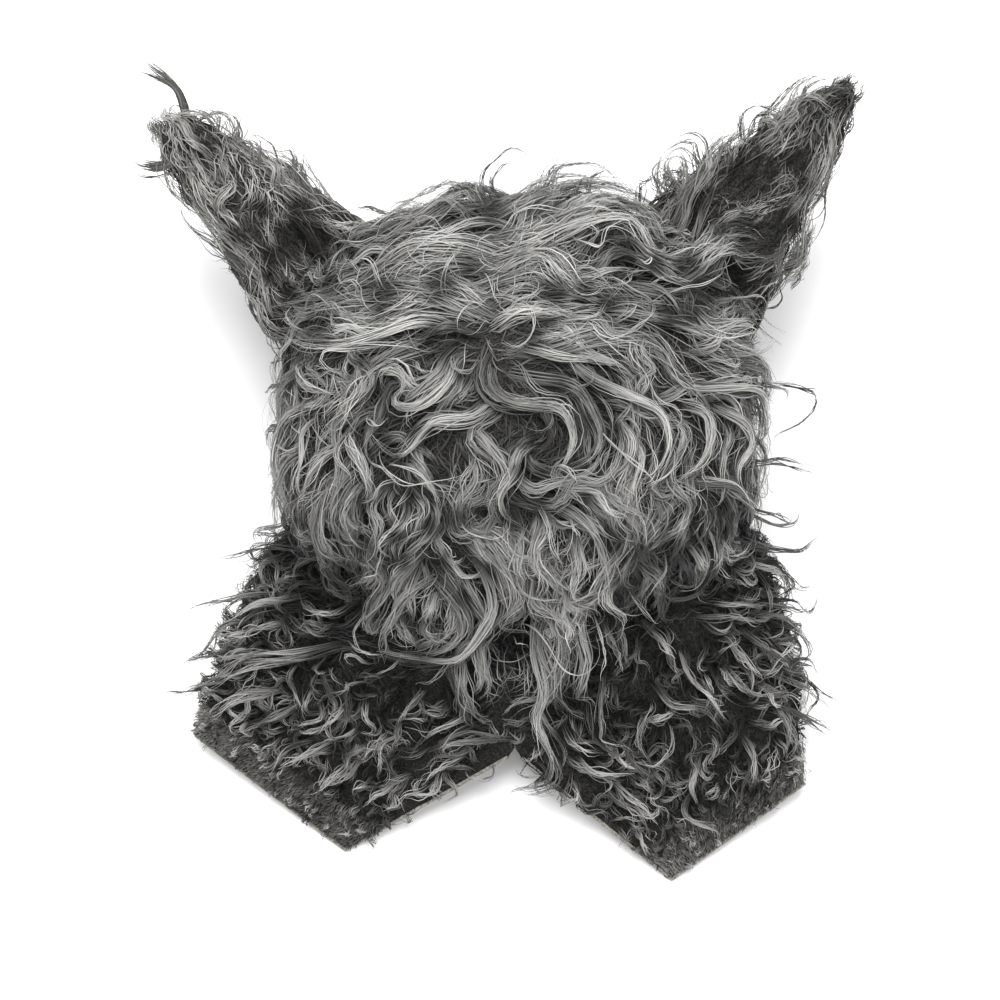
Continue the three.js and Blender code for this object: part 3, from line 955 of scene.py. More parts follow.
@dataclass
class Strands:
    """Ribbons of hair: points, side vectors, widths and tones by strand and step, and for each
    strand its width on the bake map and where it starts there."""

    points: Array
    sides: Array
    widths: Array
    tones: Array
    spreads: Array
    starts: Array

    @staticmethod
    def joined(parts: list["Strands"]) -> "Strands":
        """Return several groups with the same number of steps as one."""
        return Strands(*(
            np.concatenate([getattr(part, field.name) for part in parts]) for field in fields(Strands)
        ))

    def chosen(self, which: Array) -> "Strands":
        """Return the strands that a mask or a list of places picks."""
        return Strands(*(getattr(self, field.name)[which] for field in fields(Strands)))

    def mesh(self, name: str) -> bpy.types.Object:
        """Return the ribbons as one mesh: each point gives two vertices, half a width to each side."""
        count, steps, _ = self.points.shape
        half = self.sides * self.widths[..., None] / 2
        vertices = np.stack([self.points - half, self.points + half], axis=2).reshape(-1, 3)
        vertices[:, 2] = np.maximum(vertices[:, 2], 0.3)
        first = 2 * (np.arange(count)[:, None] * steps + np.arange(steps - 1)[None, :]).ravel()
        quads = np.stack([first, first + 1, first + 3, first + 2], axis=-1)
        spreads = self.spreads[:, None]
        tones = np.clip(self.tones, spreads, 1 - spreads)
        u = np.stack([tones - spreads, tones + spreads], axis=-1)
        v = mix(self.starts[:, None], 0.996, np.linspace(0.0, 1.0, steps))
        uv = np.stack([u, np.stack([v, v], axis=-1)], axis=-1).reshape(-1, 2)
        return add_mesh(name, vertices, quads, uv)


class Coat:
    """All the hair, gathered first, so that hair that lies buried can be darkened, as painted shade,
    before it is built.

    The canopy is the height of the topmost hair over each small square of the floor, averaged with
    the squares about it. A point is buried by its depth under the canopy times the cosine of the
    canopy's slope. What lies far under it is the mask's lower side, and keeps its tone.
    """

    WEST, SOUTH = -260.0, -300.0
    PITCH = 2.5
    COLUMNS, ROWS = 210, 240
    DEEP = 7.0  # burial at which the whole loss of tone is reached
    LOWER_SIDE = (14.0, 26.0)  # burial between which the loss fades again

    def __init__(self) -> None:
        """Start without hair."""
        self.parts = []

    def add(
        self, name: str, strands: Strands, slot: Slot, material: bpy.types.Material, loss: float = 0.45,
    ) -> None:
        """Take in a piece of hair.

        Args:
            name: The piece's name.
            strands: Its hair.
            slot: The record's slot, kept with the piece and handed on.
            material: Its material.
            loss: The tone that buried hair loses, as painted shade.
        """
        self.parts.append((name, strands, slot, material, loss))

    def cell(self, points: Array) -> tuple[Array, Array]:
        """Return the row and the column of the square that each point is over."""
        row = np.rint((points[..., 1] - self.SOUTH) / self.PITCH).astype(int)
        column = np.rint((points[..., 0] - self.WEST) / self.PITCH).astype(int)
        return np.clip(row, 0, self.ROWS - 1), np.clip(column, 0, self.COLUMNS - 1)

    def canopy(self) -> Array:
        """Return the canopy's height over each square, averaged over those that have hair."""
        heights = np.zeros((self.ROWS, self.COLUMNS))
        for _, strands, *_ in self.parts:
            np.maximum.at(heights, self.cell(strands.points), strands.points[..., 2])
        covered = (heights > 0).astype(float)
        return TopForm.blur(heights, 2) / np.maximum(TopForm.blur(covered, 2), 1e-6)

    def build(self) -> None:
        """Darken the buried hair with painted shade, and build every piece."""
        canopy = self.canopy()
        slope_y, slope_x = np.gradient(canopy, self.PITCH)
        cosine = 1 / np.sqrt(1 + slope_x**2 + slope_y**2)
        for name, strands, slot, material, loss in self.parts:
            cell = self.cell(strands.points)
            burial = (canopy[cell] - strands.points[..., 2]) * cosine[cell]
            near = 1 - smooth((burial - self.LOWER_SIDE[0]) / (self.LOWER_SIDE[1] - self.LOWER_SIDE[0]))
            # Painted shade: buried hair loses tone, and hair a little over the canopy is painted a little
            # paler.
            strands.tones = strands.tones - loss * np.clip(burial / self.DEEP, -0.15, 1.0) * near
            finish_piece(strands.mesh(name), slot, material)


class Groomer:
    """Grows locks of hair on the mask's forms. Each groomer has its own seeded chance."""

    GUIDE_STEPS = 26
    STEEPEST = 1.1  # rise or fall of a drawn lock over each millimetre that it runs before the camera

    def __init__(self, seed: int, comb: Comb) -> None:
        """Start with a seed and the comb that turns the hair."""
        self.rng = np.random.default_rng(seed)
        self.comb = comb

    def between(self, bounds: tuple[float, float], count: int) -> Array:
        """Return evenly spread chance values between two bounds."""
        return self.rng.uniform(bounds[0], bounds[1], count)

    def guides(self, ground: Ground, roots: Array, style: LockStyle, length_scale: Array) -> tuple:
        """Trace one guide for each root.

        A guide goes forward in equal steps along its ground. Its heading is the combed flow,
        turned by the lock's own scatter, by a slow field that neighbours share, by a wave and by a
        curl that grows with the cube of the length.

        Args:
            ground: The surface that the guides follow.
            roots: The places where they start.
            style: The kind of lock.
            length_scale: A factor on each guide's length.

        Returns:
            Points, normals, and the share of the highest layer that each lock lies in.
        """
        count, steps = len(roots), self.GUIDE_STEPS
        length = self.between(style.length, count) * length_scale
        swing, wave = self.between(style.swing, count), self.between(style.wave, count)
        phase = self.between((0.0, TAU), count)
        scatter = self.rng.normal(0.0, style.scatter, count)
        hand = np.where(self.rng.random(count) < 0.5, -1.0, 1.0)
        layer = self.rng.random(count)
        middle_lift = mix(style.lift[0], style.lift[1], layer)
        tip_lift = style.tip_lift * self.rng.random(count)
        places = roots.copy()
        points, normals = np.empty((count, steps, 3)), np.empty((count, steps, 3))
        for k in range(steps):
            s = k / (steps - 1)
            point, normal, flow = ground.stand(places)
            flow = self.comb.turned(point, normal, flow)
            flow = unit(flow - dot(flow, normal) * normal)
            shared = 0.3 * np.sin(point[:, 0] / 23 + 1.4 * np.sin(point[:, 1] / 27)) + 0.2 * np.sin(
                point[:, 1] / 19 - point[:, 0] / 41 + point[:, 2] / 37
            )
            turn = scatter + shared + hand * style.curl * s**3
            turn += swing * mix(0.6, 1.0, s) * np.sin(TAU * s * length / wave + phase)
            side = np.cross(normal, flow)
            heading = flow * np.cos(turn)[:, None] + side * np.sin(turn)[:, None]
            lift = self.lift_at(s, middle_lift, style.root_depth) + tip_lift * s**2
            lift += 0.22 * middle_lift * np.sin(TAU * s * length / wave + phase + 1.6) * smooth(s / 0.3)
            points[:, k] = point + normal * lift[:, None]
            normals[:, k] = normal
            places = ground.step(places, heading * (length / (steps - 1))[:, None])
        points[:, :, 2] = np.maximum(points[:, :, 2], 0.6)
        return points, normals, layer

    @staticmethod
    def lift_at(s: Array, middle_lift: Array, root_depth: float) -> Array:
        """Return the height over the skin at the share s of a lock, which starts under the skin,
        is highest near its middle, and sinks by a third to its tip."""
        rising = -root_depth + (middle_lift + root_depth) * smooth(s / 0.34)
        return rising - 0.35 * middle_lift * smooth((s - 0.55) / 0.45)

    def locks(
        self, ground: Ground, roots: Array, style: LockStyle,
        length_scale: Array | float = 1.0, tone_shift: Array | float = 0.0,
    ) -> Strands:
        """Grow a lock at each root.

        Args:
            ground: The surface that the locks follow.
            roots: The places where they start.
            style: The kind of lock.
            length_scale: A factor on each lock's length.
            tone_shift: An amount to add to each lock's tone.

        Returns:
            All the strands.
        """
        count = len(roots)
        scale = np.broadcast_to(length_scale, (count,))
        points, normals, layer = self.guides(ground, roots, style, scale)
        x, y = points[:, 0, 0], points[:, 0, 1]
        patch = np.sin(x / 11 + 1.5 * np.sin(y / 25)) * np.sin(y / 12 + 1.5 * np.sin(x / 23))
        # Locks that lie lower are painted darker, as shade, and higher ones paler.
        tone = self.between(style.tone, count) + 0.15 * (layer - 0.5) + style.patches * patch + tone_shift
        return self.fill(points, normals, style, tone)

    def drawn(self, ground: TopForm, strokes: tuple, style: LockStyle, least: float = 0.0) -> Strands:
        """Grow locks along strokes that are placed as the camera sees them.

        Where the mask falls away too steeply, a lock leaves it and stands off.

        Args:
            ground: The height that the strokes are dropped on.
            strokes: The strokes' points.
            style: The kind of lock.
            least: The lowest height, for hair that stands off past an edge.

        Returns:
            The strands of each stroke and of its echoes.
        """
        s = np.linspace(0.0, 1.0, self.GUIDE_STEPS)
        seen = np.stack([curve_through(stroke_points(stroke), s) for stroke in strokes])
        seen = np.repeat(seen, 1 + style.echoes, axis=0)
        count = len(seen)
        is_echo = (np.arange(count) % (1 + style.echoes) > 0).astype(float)
        along = unit(np.gradient(seen, axis=1))
        across = np.stack([-along[..., 1], along[..., 0]], axis=-1)
        shift = (self.rng.normal(0.0, style.echo_reach, count) * is_echo)[:, None]
        wobble = is_echo[:, None] * 2.5 * np.sin(TAU * (1.3 * s + self.rng.random(count)[:, None]))
        seen = seen + across * (shift + wobble + 0.8 * self.rng.normal(0, 1, count)[:, None])[..., None]
        seen = seen + along * (self.rng.normal(0.0, 14.0, count) * is_echo)[:, None, None]
        picture = self.comb.picture
        points = picture.drop(seen, ground, least)
        steps = np.linalg.norm(np.diff(seen, axis=1, prepend=seen[:, :1]), axis=-1)
        fall = self.STEEPEST * picture.pixel() * np.cumsum(steps, axis=1)
        after = np.maximum.accumulate(points[..., 2] + fall, axis=1) - fall
        before = np.maximum.accumulate((points[..., 2] - fall)[:, ::-1], axis=1)[:, ::-1] + fall
        gentle = np.maximum(after, before)
        points = picture.drop(seen, ground, np.maximum(gentle, style.keep_up * points[:, :1, 2]))
        points[:, 1:-1] = (points[:, :-2] + 2 * points[:, 1:-1] + points[:, 2:]) / 4
        _, normals, _ = ground.stand(points[..., :2] / 100.0)
        middle_lift = mix(style.lift[0], style.lift[1], self.rng.random(count)) * mix(1.0, 0.8, is_echo)
        lift = self.lift_at(s[None, :], middle_lift[:, None], style.root_depth)
        tone = self.between(style.tone, count) - 0.25 * is_echo
        return self.fill(points + normals * lift[..., None], normals, style, tone)

    def fill(self, points: Array, normals: Array, style: LockStyle, tone: Array) -> Strands:
        """Fill each guide with its strands.

        A strand keeps its own place in the lock's half-round section, which narrows from root to
        tip, sways a little, and is a ribbon that faces out of that section but for its own roll.

        Args:
            points: The guides' points.
            normals: The skin's normals along them.
            style: The kind of lock.
            tone: Each lock's tone.

        Returns:
            The strands.
        """
        guides, guide_steps, _ = points.shape
        count = guides * style.strands
        owner = np.repeat(np.arange(guides), style.strands)
        start, end = self.between((0.0, 0.12), count), self.between((0.64, 1.0), count)
        s = mix(start[:, None], end[:, None], np.linspace(0.0, 1.0, style.steps)[None, :])
        place = s * (guide_steps - 1)
        first = np.minimum(place.astype(int), guide_steps - 2)
        f = (place - first)[..., None]
        tangents = unit(np.gradient(points, axis=1))
        across = unit(np.cross(normals, tangents))
        upward = np.cross(tangents, across)
        rows = owner[:, None]
        point, side, up = (
            mix(values[rows, first], values[rows, first + 1], f) for values in (points, across, upward)
        )
        is_loose = self.rng.random(count) < style.loose
        narrowing = mix(1.0, np.where(is_loose, 1.6, style.tip_share)[:, None], smooth((s - 0.1) / 0.9))
        spread = self.rng.uniform(-1.0, 1.0, count)
        shell = self.rng.random(count) ** 0.6
        height = style.thickness * (shell * np.sqrt(1 - 0.9 * spread**2) - 0.35)
        sway = style.sway * np.where(is_loose, 3.0, 1.0)[:, None] * smooth(s / 0.4)
        swaying = []
        for _ in range(2):
            waves, phase = self.between((0.8, 2.4), count), self.rng.random(count)
            swaying.append(sway * np.sin(TAU * (s * waves[:, None] + phase[:, None])))
        point = point + side * ((spread * style.radius)[:, None] * narrowing + swaying[0])[..., None]
        point = point + up * (height[:, None] * narrowing + 0.7 * swaying[1])[..., None]
        roll = -style.roll * spread * shell + self.rng.normal(0.0, 0.2, count)
        roll = roll[:, None] + self.rng.normal(0.0, 0.35, count)[:, None] * s
        sides = unit(side * np.cos(roll)[..., None] + up * np.sin(roll)[..., None])
        along = np.linspace(0.0, 1.0, style.steps)
        taper = mix(0.65, 1.0, smooth(along / 0.25)) * (1 - 0.8 * smooth((along - 0.55) / 0.45))
        widths = style.width * self.rng.uniform(0.7, 1.25, count)[:, None] * taper[None, :]
        # Painted shade: strands low in their lock are darker, and so is hair deep in a hollow.
        tones = tone[owner] + self.rng.normal(0.0, 0.06, count) + 0.2 * (shell - 0.72)
        tones += 0.14 * (self.rng.random(count) < 0.06)
        tones = tones[:, None] - style.shaded * self.comb.depth(point)
        return Strands(
            point, sides, widths, tones, np.full(count, style.spread), np.full(count, style.shade_start)
        )


# Strokes from a lock's root to its tip, each as x and y by turns in the picture

CROWN_WAVES = (
    (520, 216, 488, 203, 460, 205, 432, 222, 400, 242, 362, 264, 330, 284),
    (526, 234, 498, 226, 466, 232, 438, 246, 408, 262, 372, 276, 338, 291),
    (520, 256, 488, 252, 452, 250, 410, 256, 378, 281, 345, 296, 300, 301),
    (512, 276, 480, 270, 442, 268, 402, 281, 370, 297, 330, 300, 288, 306),
    (504, 296, 470, 290, 440, 284, 410, 296, 380, 312, 350, 318, 310, 316),
    (500, 322, 468, 312, 440, 304, 405, 300, 360, 301, 318, 312, 275, 318),
    (470, 332, 432, 322, 395, 334, 352, 346, 312, 345, 290, 335),
    (480, 222, 516, 212, 555, 203, 600, 197, 640, 205, 670, 215),
    (476, 246, 508, 246, 545, 240, 578, 223, 612, 211, 652, 222, 680, 232),
    (470, 262, 502, 256, 540, 250, 572, 236, 612, 226, 636, 236, 648, 260, 676, 266, 700, 254),
    (480, 272, 510, 264, 544, 264, 562, 282, 580, 298, 600, 291, 604, 276),
    (470, 290, 500, 284, 535, 280, 560, 296, 600, 302, 640, 302, 668, 310),
    (640, 276, 680, 268, 705, 254, 722, 241, 748, 237, 768, 243),
    (650, 292, 682, 282, 703, 262, 732, 258, 768, 256),
    (520, 330, 560, 322, 592, 325, 606, 340, 628, 336, 643, 315, 644, 292),
    (560, 318, 600, 312, 640, 320, 680, 332, 720, 350, 750, 362),
    (650, 300, 682, 312, 702, 330, 740, 326, 756, 345),
    (498, 204, 524, 202, 548, 190, 580, 184, 606, 190),
    (520, 226, 550, 214, 590, 208, 628, 218, 656, 238),
    (520, 300, 548, 306, 580, 310, 612, 314, 640, 322),
    (492, 212, 470, 202, 452, 208, 438, 222),
    (494, 208, 462, 196, 430, 205, 400, 221, 376, 234),
    (486, 330, 520, 318, 556, 318, 588, 322),
    (500, 352, 545, 352, 590, 341, 635, 345, 658, 362, 672, 384, 702, 389, 735, 384),
)
BACK_WAVES = (
    (440, 345, 405, 362, 378, 378, 362, 400, 342, 420, 330, 442),
    (380, 350, 366, 368, 372, 390, 356, 408, 338, 424),
    (474, 350, 458, 362, 455, 382, 440, 400, 422, 411, 405, 410, 402, 399, 412, 388, 402, 371),
    (500, 402, 488, 407, 476, 419, 455, 422, 437, 424, 424, 437, 412, 451, 396, 455, 374, 433),
    (452, 430, 476, 432, 491, 446, 503, 464, 504, 482, 496, 497, 474, 503),
    (492, 360, 492, 385, 508, 402, 545, 408, 564, 415, 573, 440, 565, 460, 553, 478),
    (500, 372, 540, 382, 572, 392, 588, 412, 598, 436, 588, 456, 562, 467),
    (560, 345, 580, 372, 600, 388, 632, 402, 652, 415, 662, 440, 655, 466, 638, 482),
    (505, 455, 516, 475, 534, 486, 552, 480, 580, 474, 597, 458, 604, 438),
    (640, 345, 634, 365, 640, 385, 636, 400, 640, 425),
    (700, 345, 730, 352, 752, 365, 762, 390, 760, 420),
    (660, 388, 700, 392, 738, 392, 752, 412, 755, 440),
    (680, 400, 692, 415, 696, 438, 688, 462, 664, 484),
    (640, 410, 618, 420, 628, 440, 624, 462, 602, 484, 598, 512),
    (705, 400, 724, 422, 732, 446, 722, 470, 735, 500),
    (672, 455, 664, 482, 680, 500, 670, 520, 650, 540, 628, 547),
    (600, 470, 600, 495, 612, 515, 622, 535),
    (690, 478, 720, 486, 742, 505, 745, 528),
    (335, 400, 305, 412, 292, 440, 288, 470, 294, 500, 302, 528),
    (355, 440, 335, 455, 318, 480, 307, 505),
    (350, 425, 356, 442, 368, 460, 374, 482, 370, 500),
    (380, 470, 360, 490, 350, 510, 356, 530, 368, 548),
    (304, 360, 295, 385, 288, 410, 284, 440),
    (312, 352, 312, 378, 328, 392, 352, 393),
    (400, 462, 420, 464, 432, 476, 440, 492, 446, 512),
    (386, 480, 378, 500, 385, 520, 376, 545, 372, 570),
    (410, 490, 425, 505, 420, 525, 405, 545),
    (540, 440, 520, 450, 512, 470, 500, 490, 505, 510, 520, 520),
    (385, 512, 372, 530, 378, 552, 388, 572, 380, 600, 372, 612, 384, 620),
)
FRINGE_WAVES = (
    (455, 545, 478, 535, 492, 540, 505, 560, 511, 585, 508, 605, 495, 614),
    (460, 545, 480, 560, 492, 580, 494, 600, 482, 622, 462, 650, 430, 651, 400, 648, 368, 640),
    (405, 545, 396, 572, 384, 592, 374, 612, 378, 622, 392, 600),
    (440, 575, 412, 582, 402, 600, 390, 620, 385, 640),
    (425, 572, 450, 590, 463, 610, 460, 630, 440, 645, 405, 650, 378, 645),
    (452, 555, 470, 580, 485, 605, 478, 628, 460, 655),
    (540, 500, 570, 505, 590, 520, 600, 540, 605, 570, 600, 590, 607, 605),
    (520, 530, 518, 560, 522, 590, 512, 610, 500, 625),
    (545, 590, 555, 615, 560, 640, 552, 670, 540, 690, 515, 696, 502, 712),
    (540, 600, 535, 640, 545, 680, 535, 710, 545, 735, 555, 760, 546, 788),
    (580, 590, 578, 620, 585, 645, 580, 670, 575, 685, 590, 690, 592, 710),
    (620, 535, 640, 560, 655, 580, 648, 605),
    (470, 625, 478, 650, 480, 675, 472, 690),
    (460, 640, 462, 670, 470, 695, 482, 712, 496, 718),
    (330, 470, 328, 505, 332, 540, 348, 552, 368, 552),
    (300, 490, 304, 515, 314, 532, 330, 532),
    (424, 556, 412, 582, 418, 608, 408, 634),
    (438, 590, 432, 612, 444, 634),
    (456, 596, 450, 620, 436, 642),
    (398, 598, 410, 620, 424, 640),
    (545, 520, 535, 548, 546, 575, 538, 600),
    (572, 530, 580, 556, 570, 580, 582, 604),
    (556, 600, 570, 622, 562, 646),
)
NECK_TUFTS = (
    (310, 596, 265, 603, 222, 632),
    (350, 640, 300, 646, 248, 652, 205, 664),
    (300, 622, 262, 628, 224, 650),
    (300, 660, 255, 665, 212, 690),
    (285, 690, 245, 698, 212, 716),
    (345, 556, 325, 552, 305, 562, 296, 582),
    (285, 556, 268, 566, 270, 590),
    (330, 568, 345, 590, 374, 596),
    (360, 600, 335, 612, 310, 606, 300, 590),
    (350, 702, 334, 716, 318, 732),
    (392, 730, 372, 745, 358, 760),
    (340, 738, 304, 752, 280, 768),
    (356, 758, 332, 776, 316, 794),
    (300, 705, 268, 718, 240, 730),
    (320, 670, 338, 700, 332, 716),
    (505, 742, 472, 735, 446, 742, 438, 754),
    (490, 706, 462, 716, 436, 728, 420, 746),
    (425, 690, 408, 706, 395, 728),
    (400, 780, 378, 790, 364, 806),
    (470, 752, 440, 764, 420, 784),
    (664, 545, 690, 545, 694, 568, 682, 582, 666, 574),
    (690, 600, 735, 602, 765, 604),
    (716, 656, 734, 680, 752, 692, 782, 690),
    (680, 650, 688, 674, 708, 694, 722, 716),
    (650, 682, 672, 702, 702, 708, 722, 734),
    (726, 636, 744, 660, 764, 680),
    (740, 560, 766, 574, 778, 600),
    (752, 640, 778, 656, 792, 678),
    (606, 668, 600, 705, 606, 730, 628, 742),
    (650, 708, 640, 736, 652, 760),
    (600, 612, 614, 640, 622, 668),
    (640, 620, 660, 640, 672, 664),
    (575, 755, 600, 770, 636, 772),
    (610, 780, 640, 800, 660, 824),
    (700, 752, 690, 784, 700, 812),
    (740, 730, 752, 760, 746, 790),
    (770, 700, 784, 730, 782, 760),
    (560, 720, 580, 742, 612, 752),
)
EAR_WAVES = (
    (345, 250, 322, 215, 290, 196, 262, 170, 236, 150, 214, 140),
    (330, 222, 300, 196, 272, 172, 240, 154, 212, 136),
    (320, 285, 290, 240, 262, 222, 240, 196, 224, 166, 205, 142),
    (300, 300, 262, 252, 232, 226, 206, 200, 190, 168, 178, 142),
    (286, 316, 258, 272, 228, 240, 202, 212, 190, 184),
    (240, 205, 226, 188, 221, 160, 205, 146),
    (672, 250, 690, 205, 712, 170, 742, 142, 772, 122),
    (690, 262, 725, 222, 762, 212, 790, 204, 806, 186),
    (700, 215, 735, 175, 770, 140, 806, 104, 848, 86),
    (740, 232, 738, 208, 766, 196, 788, 184, 812, 160),
    (752, 256, 780, 228, 800, 200, 818, 160, 830, 120, 850, 95),
    (790, 226, 808, 196, 824, 160, 836, 120, 852, 94),
    (735, 190, 762, 166, 786, 150, 800, 128, 826, 104),
    (352, 220, 326, 203, 309, 186, 298, 168, 280, 160, 264, 156),
    (312, 198, 300, 178, 284, 168, 262, 155, 246, 150),
    (252, 164, 236, 144, 226, 126, 210, 119, 203, 128),
    (280, 330, 266, 306, 262, 282, 246, 256, 226, 242),
    (300, 268, 280, 256, 270, 236, 262, 205, 248, 184),
    (668, 232, 682, 196, 690, 176, 684, 164, 674, 170),
    (700, 200, 712, 172, 728, 152, 750, 136, 764, 120),
    (764, 280, 790, 262, 796, 236, 806, 206, 820, 180),
    (800, 198, 784, 202, 768, 209, 754, 216, 742, 211, 736, 198),
    (806, 190, 788, 184, 770, 188, 754, 192),
    (778, 148, 785, 160, 784, 172, 778, 182, 784, 196),
    (764, 124, 774, 132, 780, 148, 776, 168),
    (205, 128, 216, 142, 223, 160, 228, 180, 238, 198, 250, 206),
    (198, 150, 204, 170, 214, 188, 228, 200),
    (258, 196, 262, 186, 275, 182, 286, 190, 292, 204),
    (234, 200, 254, 210, 270, 225, 286, 234),
    (285, 262, 292, 279, 301, 290, 310, 294),
    (320, 262, 313, 278, 309, 292),
    (326, 262, 331, 275, 326, 288),
    (178, 142, 190, 150, 196, 165, 203, 180, 214, 193, 228, 200, 240, 205, 252, 214),
    (240, 205, 256, 215, 270, 224, 284, 232),
    (252, 190, 262, 200, 270, 212, 276, 222),
    (254, 196, 264, 203, 276, 210, 282, 222, 290, 232),
    (336, 246, 340, 256, 334, 268),
    (355, 250, 352, 262, 346, 274, 334, 277),
    (285, 275, 292, 285, 303, 292),
    (250, 262, 262, 266, 272, 272, 280, 284),
    (226, 214, 242, 220, 252, 232, 254, 246),
    (182, 152, 188, 170, 196, 190, 208, 206, 222, 218),
    (206, 168, 214, 180, 226, 190, 240, 196),
    (220, 140, 234, 156, 246, 172, 262, 180),
    (300, 212, 318, 222, 332, 234, 344, 244),
    (690, 205, 676, 190, 672, 176, 680, 166, 692, 165),
    (700, 215, 704, 190, 712, 165, 728, 146, 750, 136),
    (715, 200, 730, 176, 734, 156, 748, 140, 762, 132),
    (756, 140, 764, 128, 774, 128, 783, 140, 785, 152),
    (770, 152, 775, 130, 790, 115, 805, 95, 822, 84, 846, 82),
    (800, 150, 812, 130, 818, 112, 828, 98, 850, 88),
    (826, 150, 832, 132, 824, 118, 832, 104, 856, 92),
    (780, 186, 770, 182, 758, 186, 748, 194),
    (782, 196, 770, 206, 756, 214, 744, 216, 737, 209, 739, 200, 748, 197),
    (728, 222, 740, 226, 752, 224, 765, 214, 785, 208, 800, 196),
    (785, 158, 792, 176, 800, 190, 808, 196),
    (832, 152, 816, 162, 800, 171),
    (700, 208, 715, 206, 728, 210, 734, 220),
    (690, 224, 706, 216, 722, 219),
    (772, 290, 776, 262, 786, 240, 796, 224),
    (784, 284, 790, 262, 798, 244),
    (735, 168, 742, 180, 752, 182, 756, 170, 752, 158),
    (664, 214, 684, 204, 700, 192, 716, 176),
    (656, 200, 668, 190, 680, 184, 696, 182),
)
EAR_WISPS = (
    (190, 132, 186, 112, 179, 94, 166, 78, 152, 67, 143, 63),
    (192, 134, 182, 103, 174, 91, 163, 83, 152, 78, 144, 75),
    (200, 166, 186, 163, 168, 167, 152, 167, 143, 164),
    (196, 140, 184, 138, 170, 135, 158, 135),
)
EAR_HAIRS = (
    (190, 132, 184, 108, 173, 92, 160, 83, 150, 78, 136, 74, 124, 71),
    (196, 178, 178, 174, 158, 178, 140, 175, 125, 165),
    (198, 170, 170, 166, 152, 166, 141, 164, 136, 158),
    (222, 232, 204, 208, 190, 196, 178, 182, 168, 178),
    (190, 132, 184, 114, 176, 108, 170, 113, 175, 121),
    (190, 130, 184, 112, 179, 103, 170, 103, 163, 111),
    (284, 176, 272, 154, 262, 146, 252, 140, 242, 141),
    (812, 130, 826, 126, 832, 136, 829, 158, 822, 180, 819, 200, 820, 218, 812, 236, 805, 247),
    (796, 196, 820, 196, 815, 214, 802, 222),
    (800, 240, 792, 260, 774, 284, 762, 302),
    (780, 284, 776, 298, 768, 306, 756, 308),
    (838, 118, 836, 140, 828, 160, 818, 172),
    (668, 222, 660, 190, 655, 178, 662, 166, 672, 160),
)
PALE_HAIRS = (
    (510, 632, 522, 620, 536, 618, 549, 632, 560, 652, 576, 661, 592, 655, 600, 638, 590, 607),
    (375, 440, 386, 458, 402, 474, 418, 480, 442, 477, 466, 470),
    (320, 346, 345, 351, 390, 351, 425, 358, 438, 372),
    (575, 388, 600, 436, 622, 456, 640, 472, 652, 482),
    (385, 468, 400, 462, 424, 468, 434, 484, 440, 498),
    (558, 246, 570, 246, 584, 258, 596, 262, 600, 246, 612, 244, 630, 250, 646, 268),
    (645, 292, 642, 318, 630, 332, 612, 342),
    (650, 300, 668, 300, 690, 298, 706, 286, 713, 270),
    (700, 262, 712, 248, 728, 240, 750, 237, 764, 244),
    (650, 262, 664, 266, 680, 262, 692, 254),
    (633, 268, 630, 274, 636, 278, 641, 272, 636, 264),
    (680, 455, 665, 462, 650, 474, 636, 488),
    (690, 475, 710, 480, 728, 494, 738, 514),
    (592, 610, 600, 628, 600, 650, 598, 674),
    (510, 634, 522, 626, 530, 640),
)
EDGE_HAIRS = (
    (500, 202, 492, 190, 505, 172, 520, 168),
    (420, 226, 395, 222, 372, 214, 356, 216),
    (590, 206, 588, 190, 600, 180, 612, 180),
    (690, 300, 725, 302, 745, 306, 760, 325, 786, 338),
    (712, 196, 702, 165, 700, 152, 688, 149, 672, 156, 662, 164),
    (738, 468, 760, 462, 785, 468, 815, 474),
    (740, 385, 765, 388, 780, 395, 776, 410),
    (735, 505, 762, 520, 785, 520, 792, 506),
    (735, 535, 765, 545, 792, 548, 806, 535, 820, 522),
    (730, 566, 762, 560, 778, 582, 796, 592, 822, 580),
    (745, 600, 775, 605, 792, 612, 806, 606),
    (750, 610, 780, 620, 796, 640, 795, 662),
    (755, 655, 786, 662, 806, 668, 818, 690),
    (760, 670, 795, 684, 815, 702, 838, 716),
    (772, 700, 795, 712, 820, 728, 840, 744),
    (290, 545, 262, 548, 236, 560, 214, 564),
    (300, 590, 262, 592, 225, 605, 190, 618),
    (250, 640, 225, 650, 205, 660, 194, 664),
    (245, 675, 220, 682, 198, 690, 184, 694),
    (300, 510, 285, 524, 262, 528, 254, 545),
    (296, 380, 282, 388, 274, 390),
    (298, 425, 282, 434, 275, 448),
    (540, 745, 552, 775, 532, 782, 510, 786, 505, 800),
)
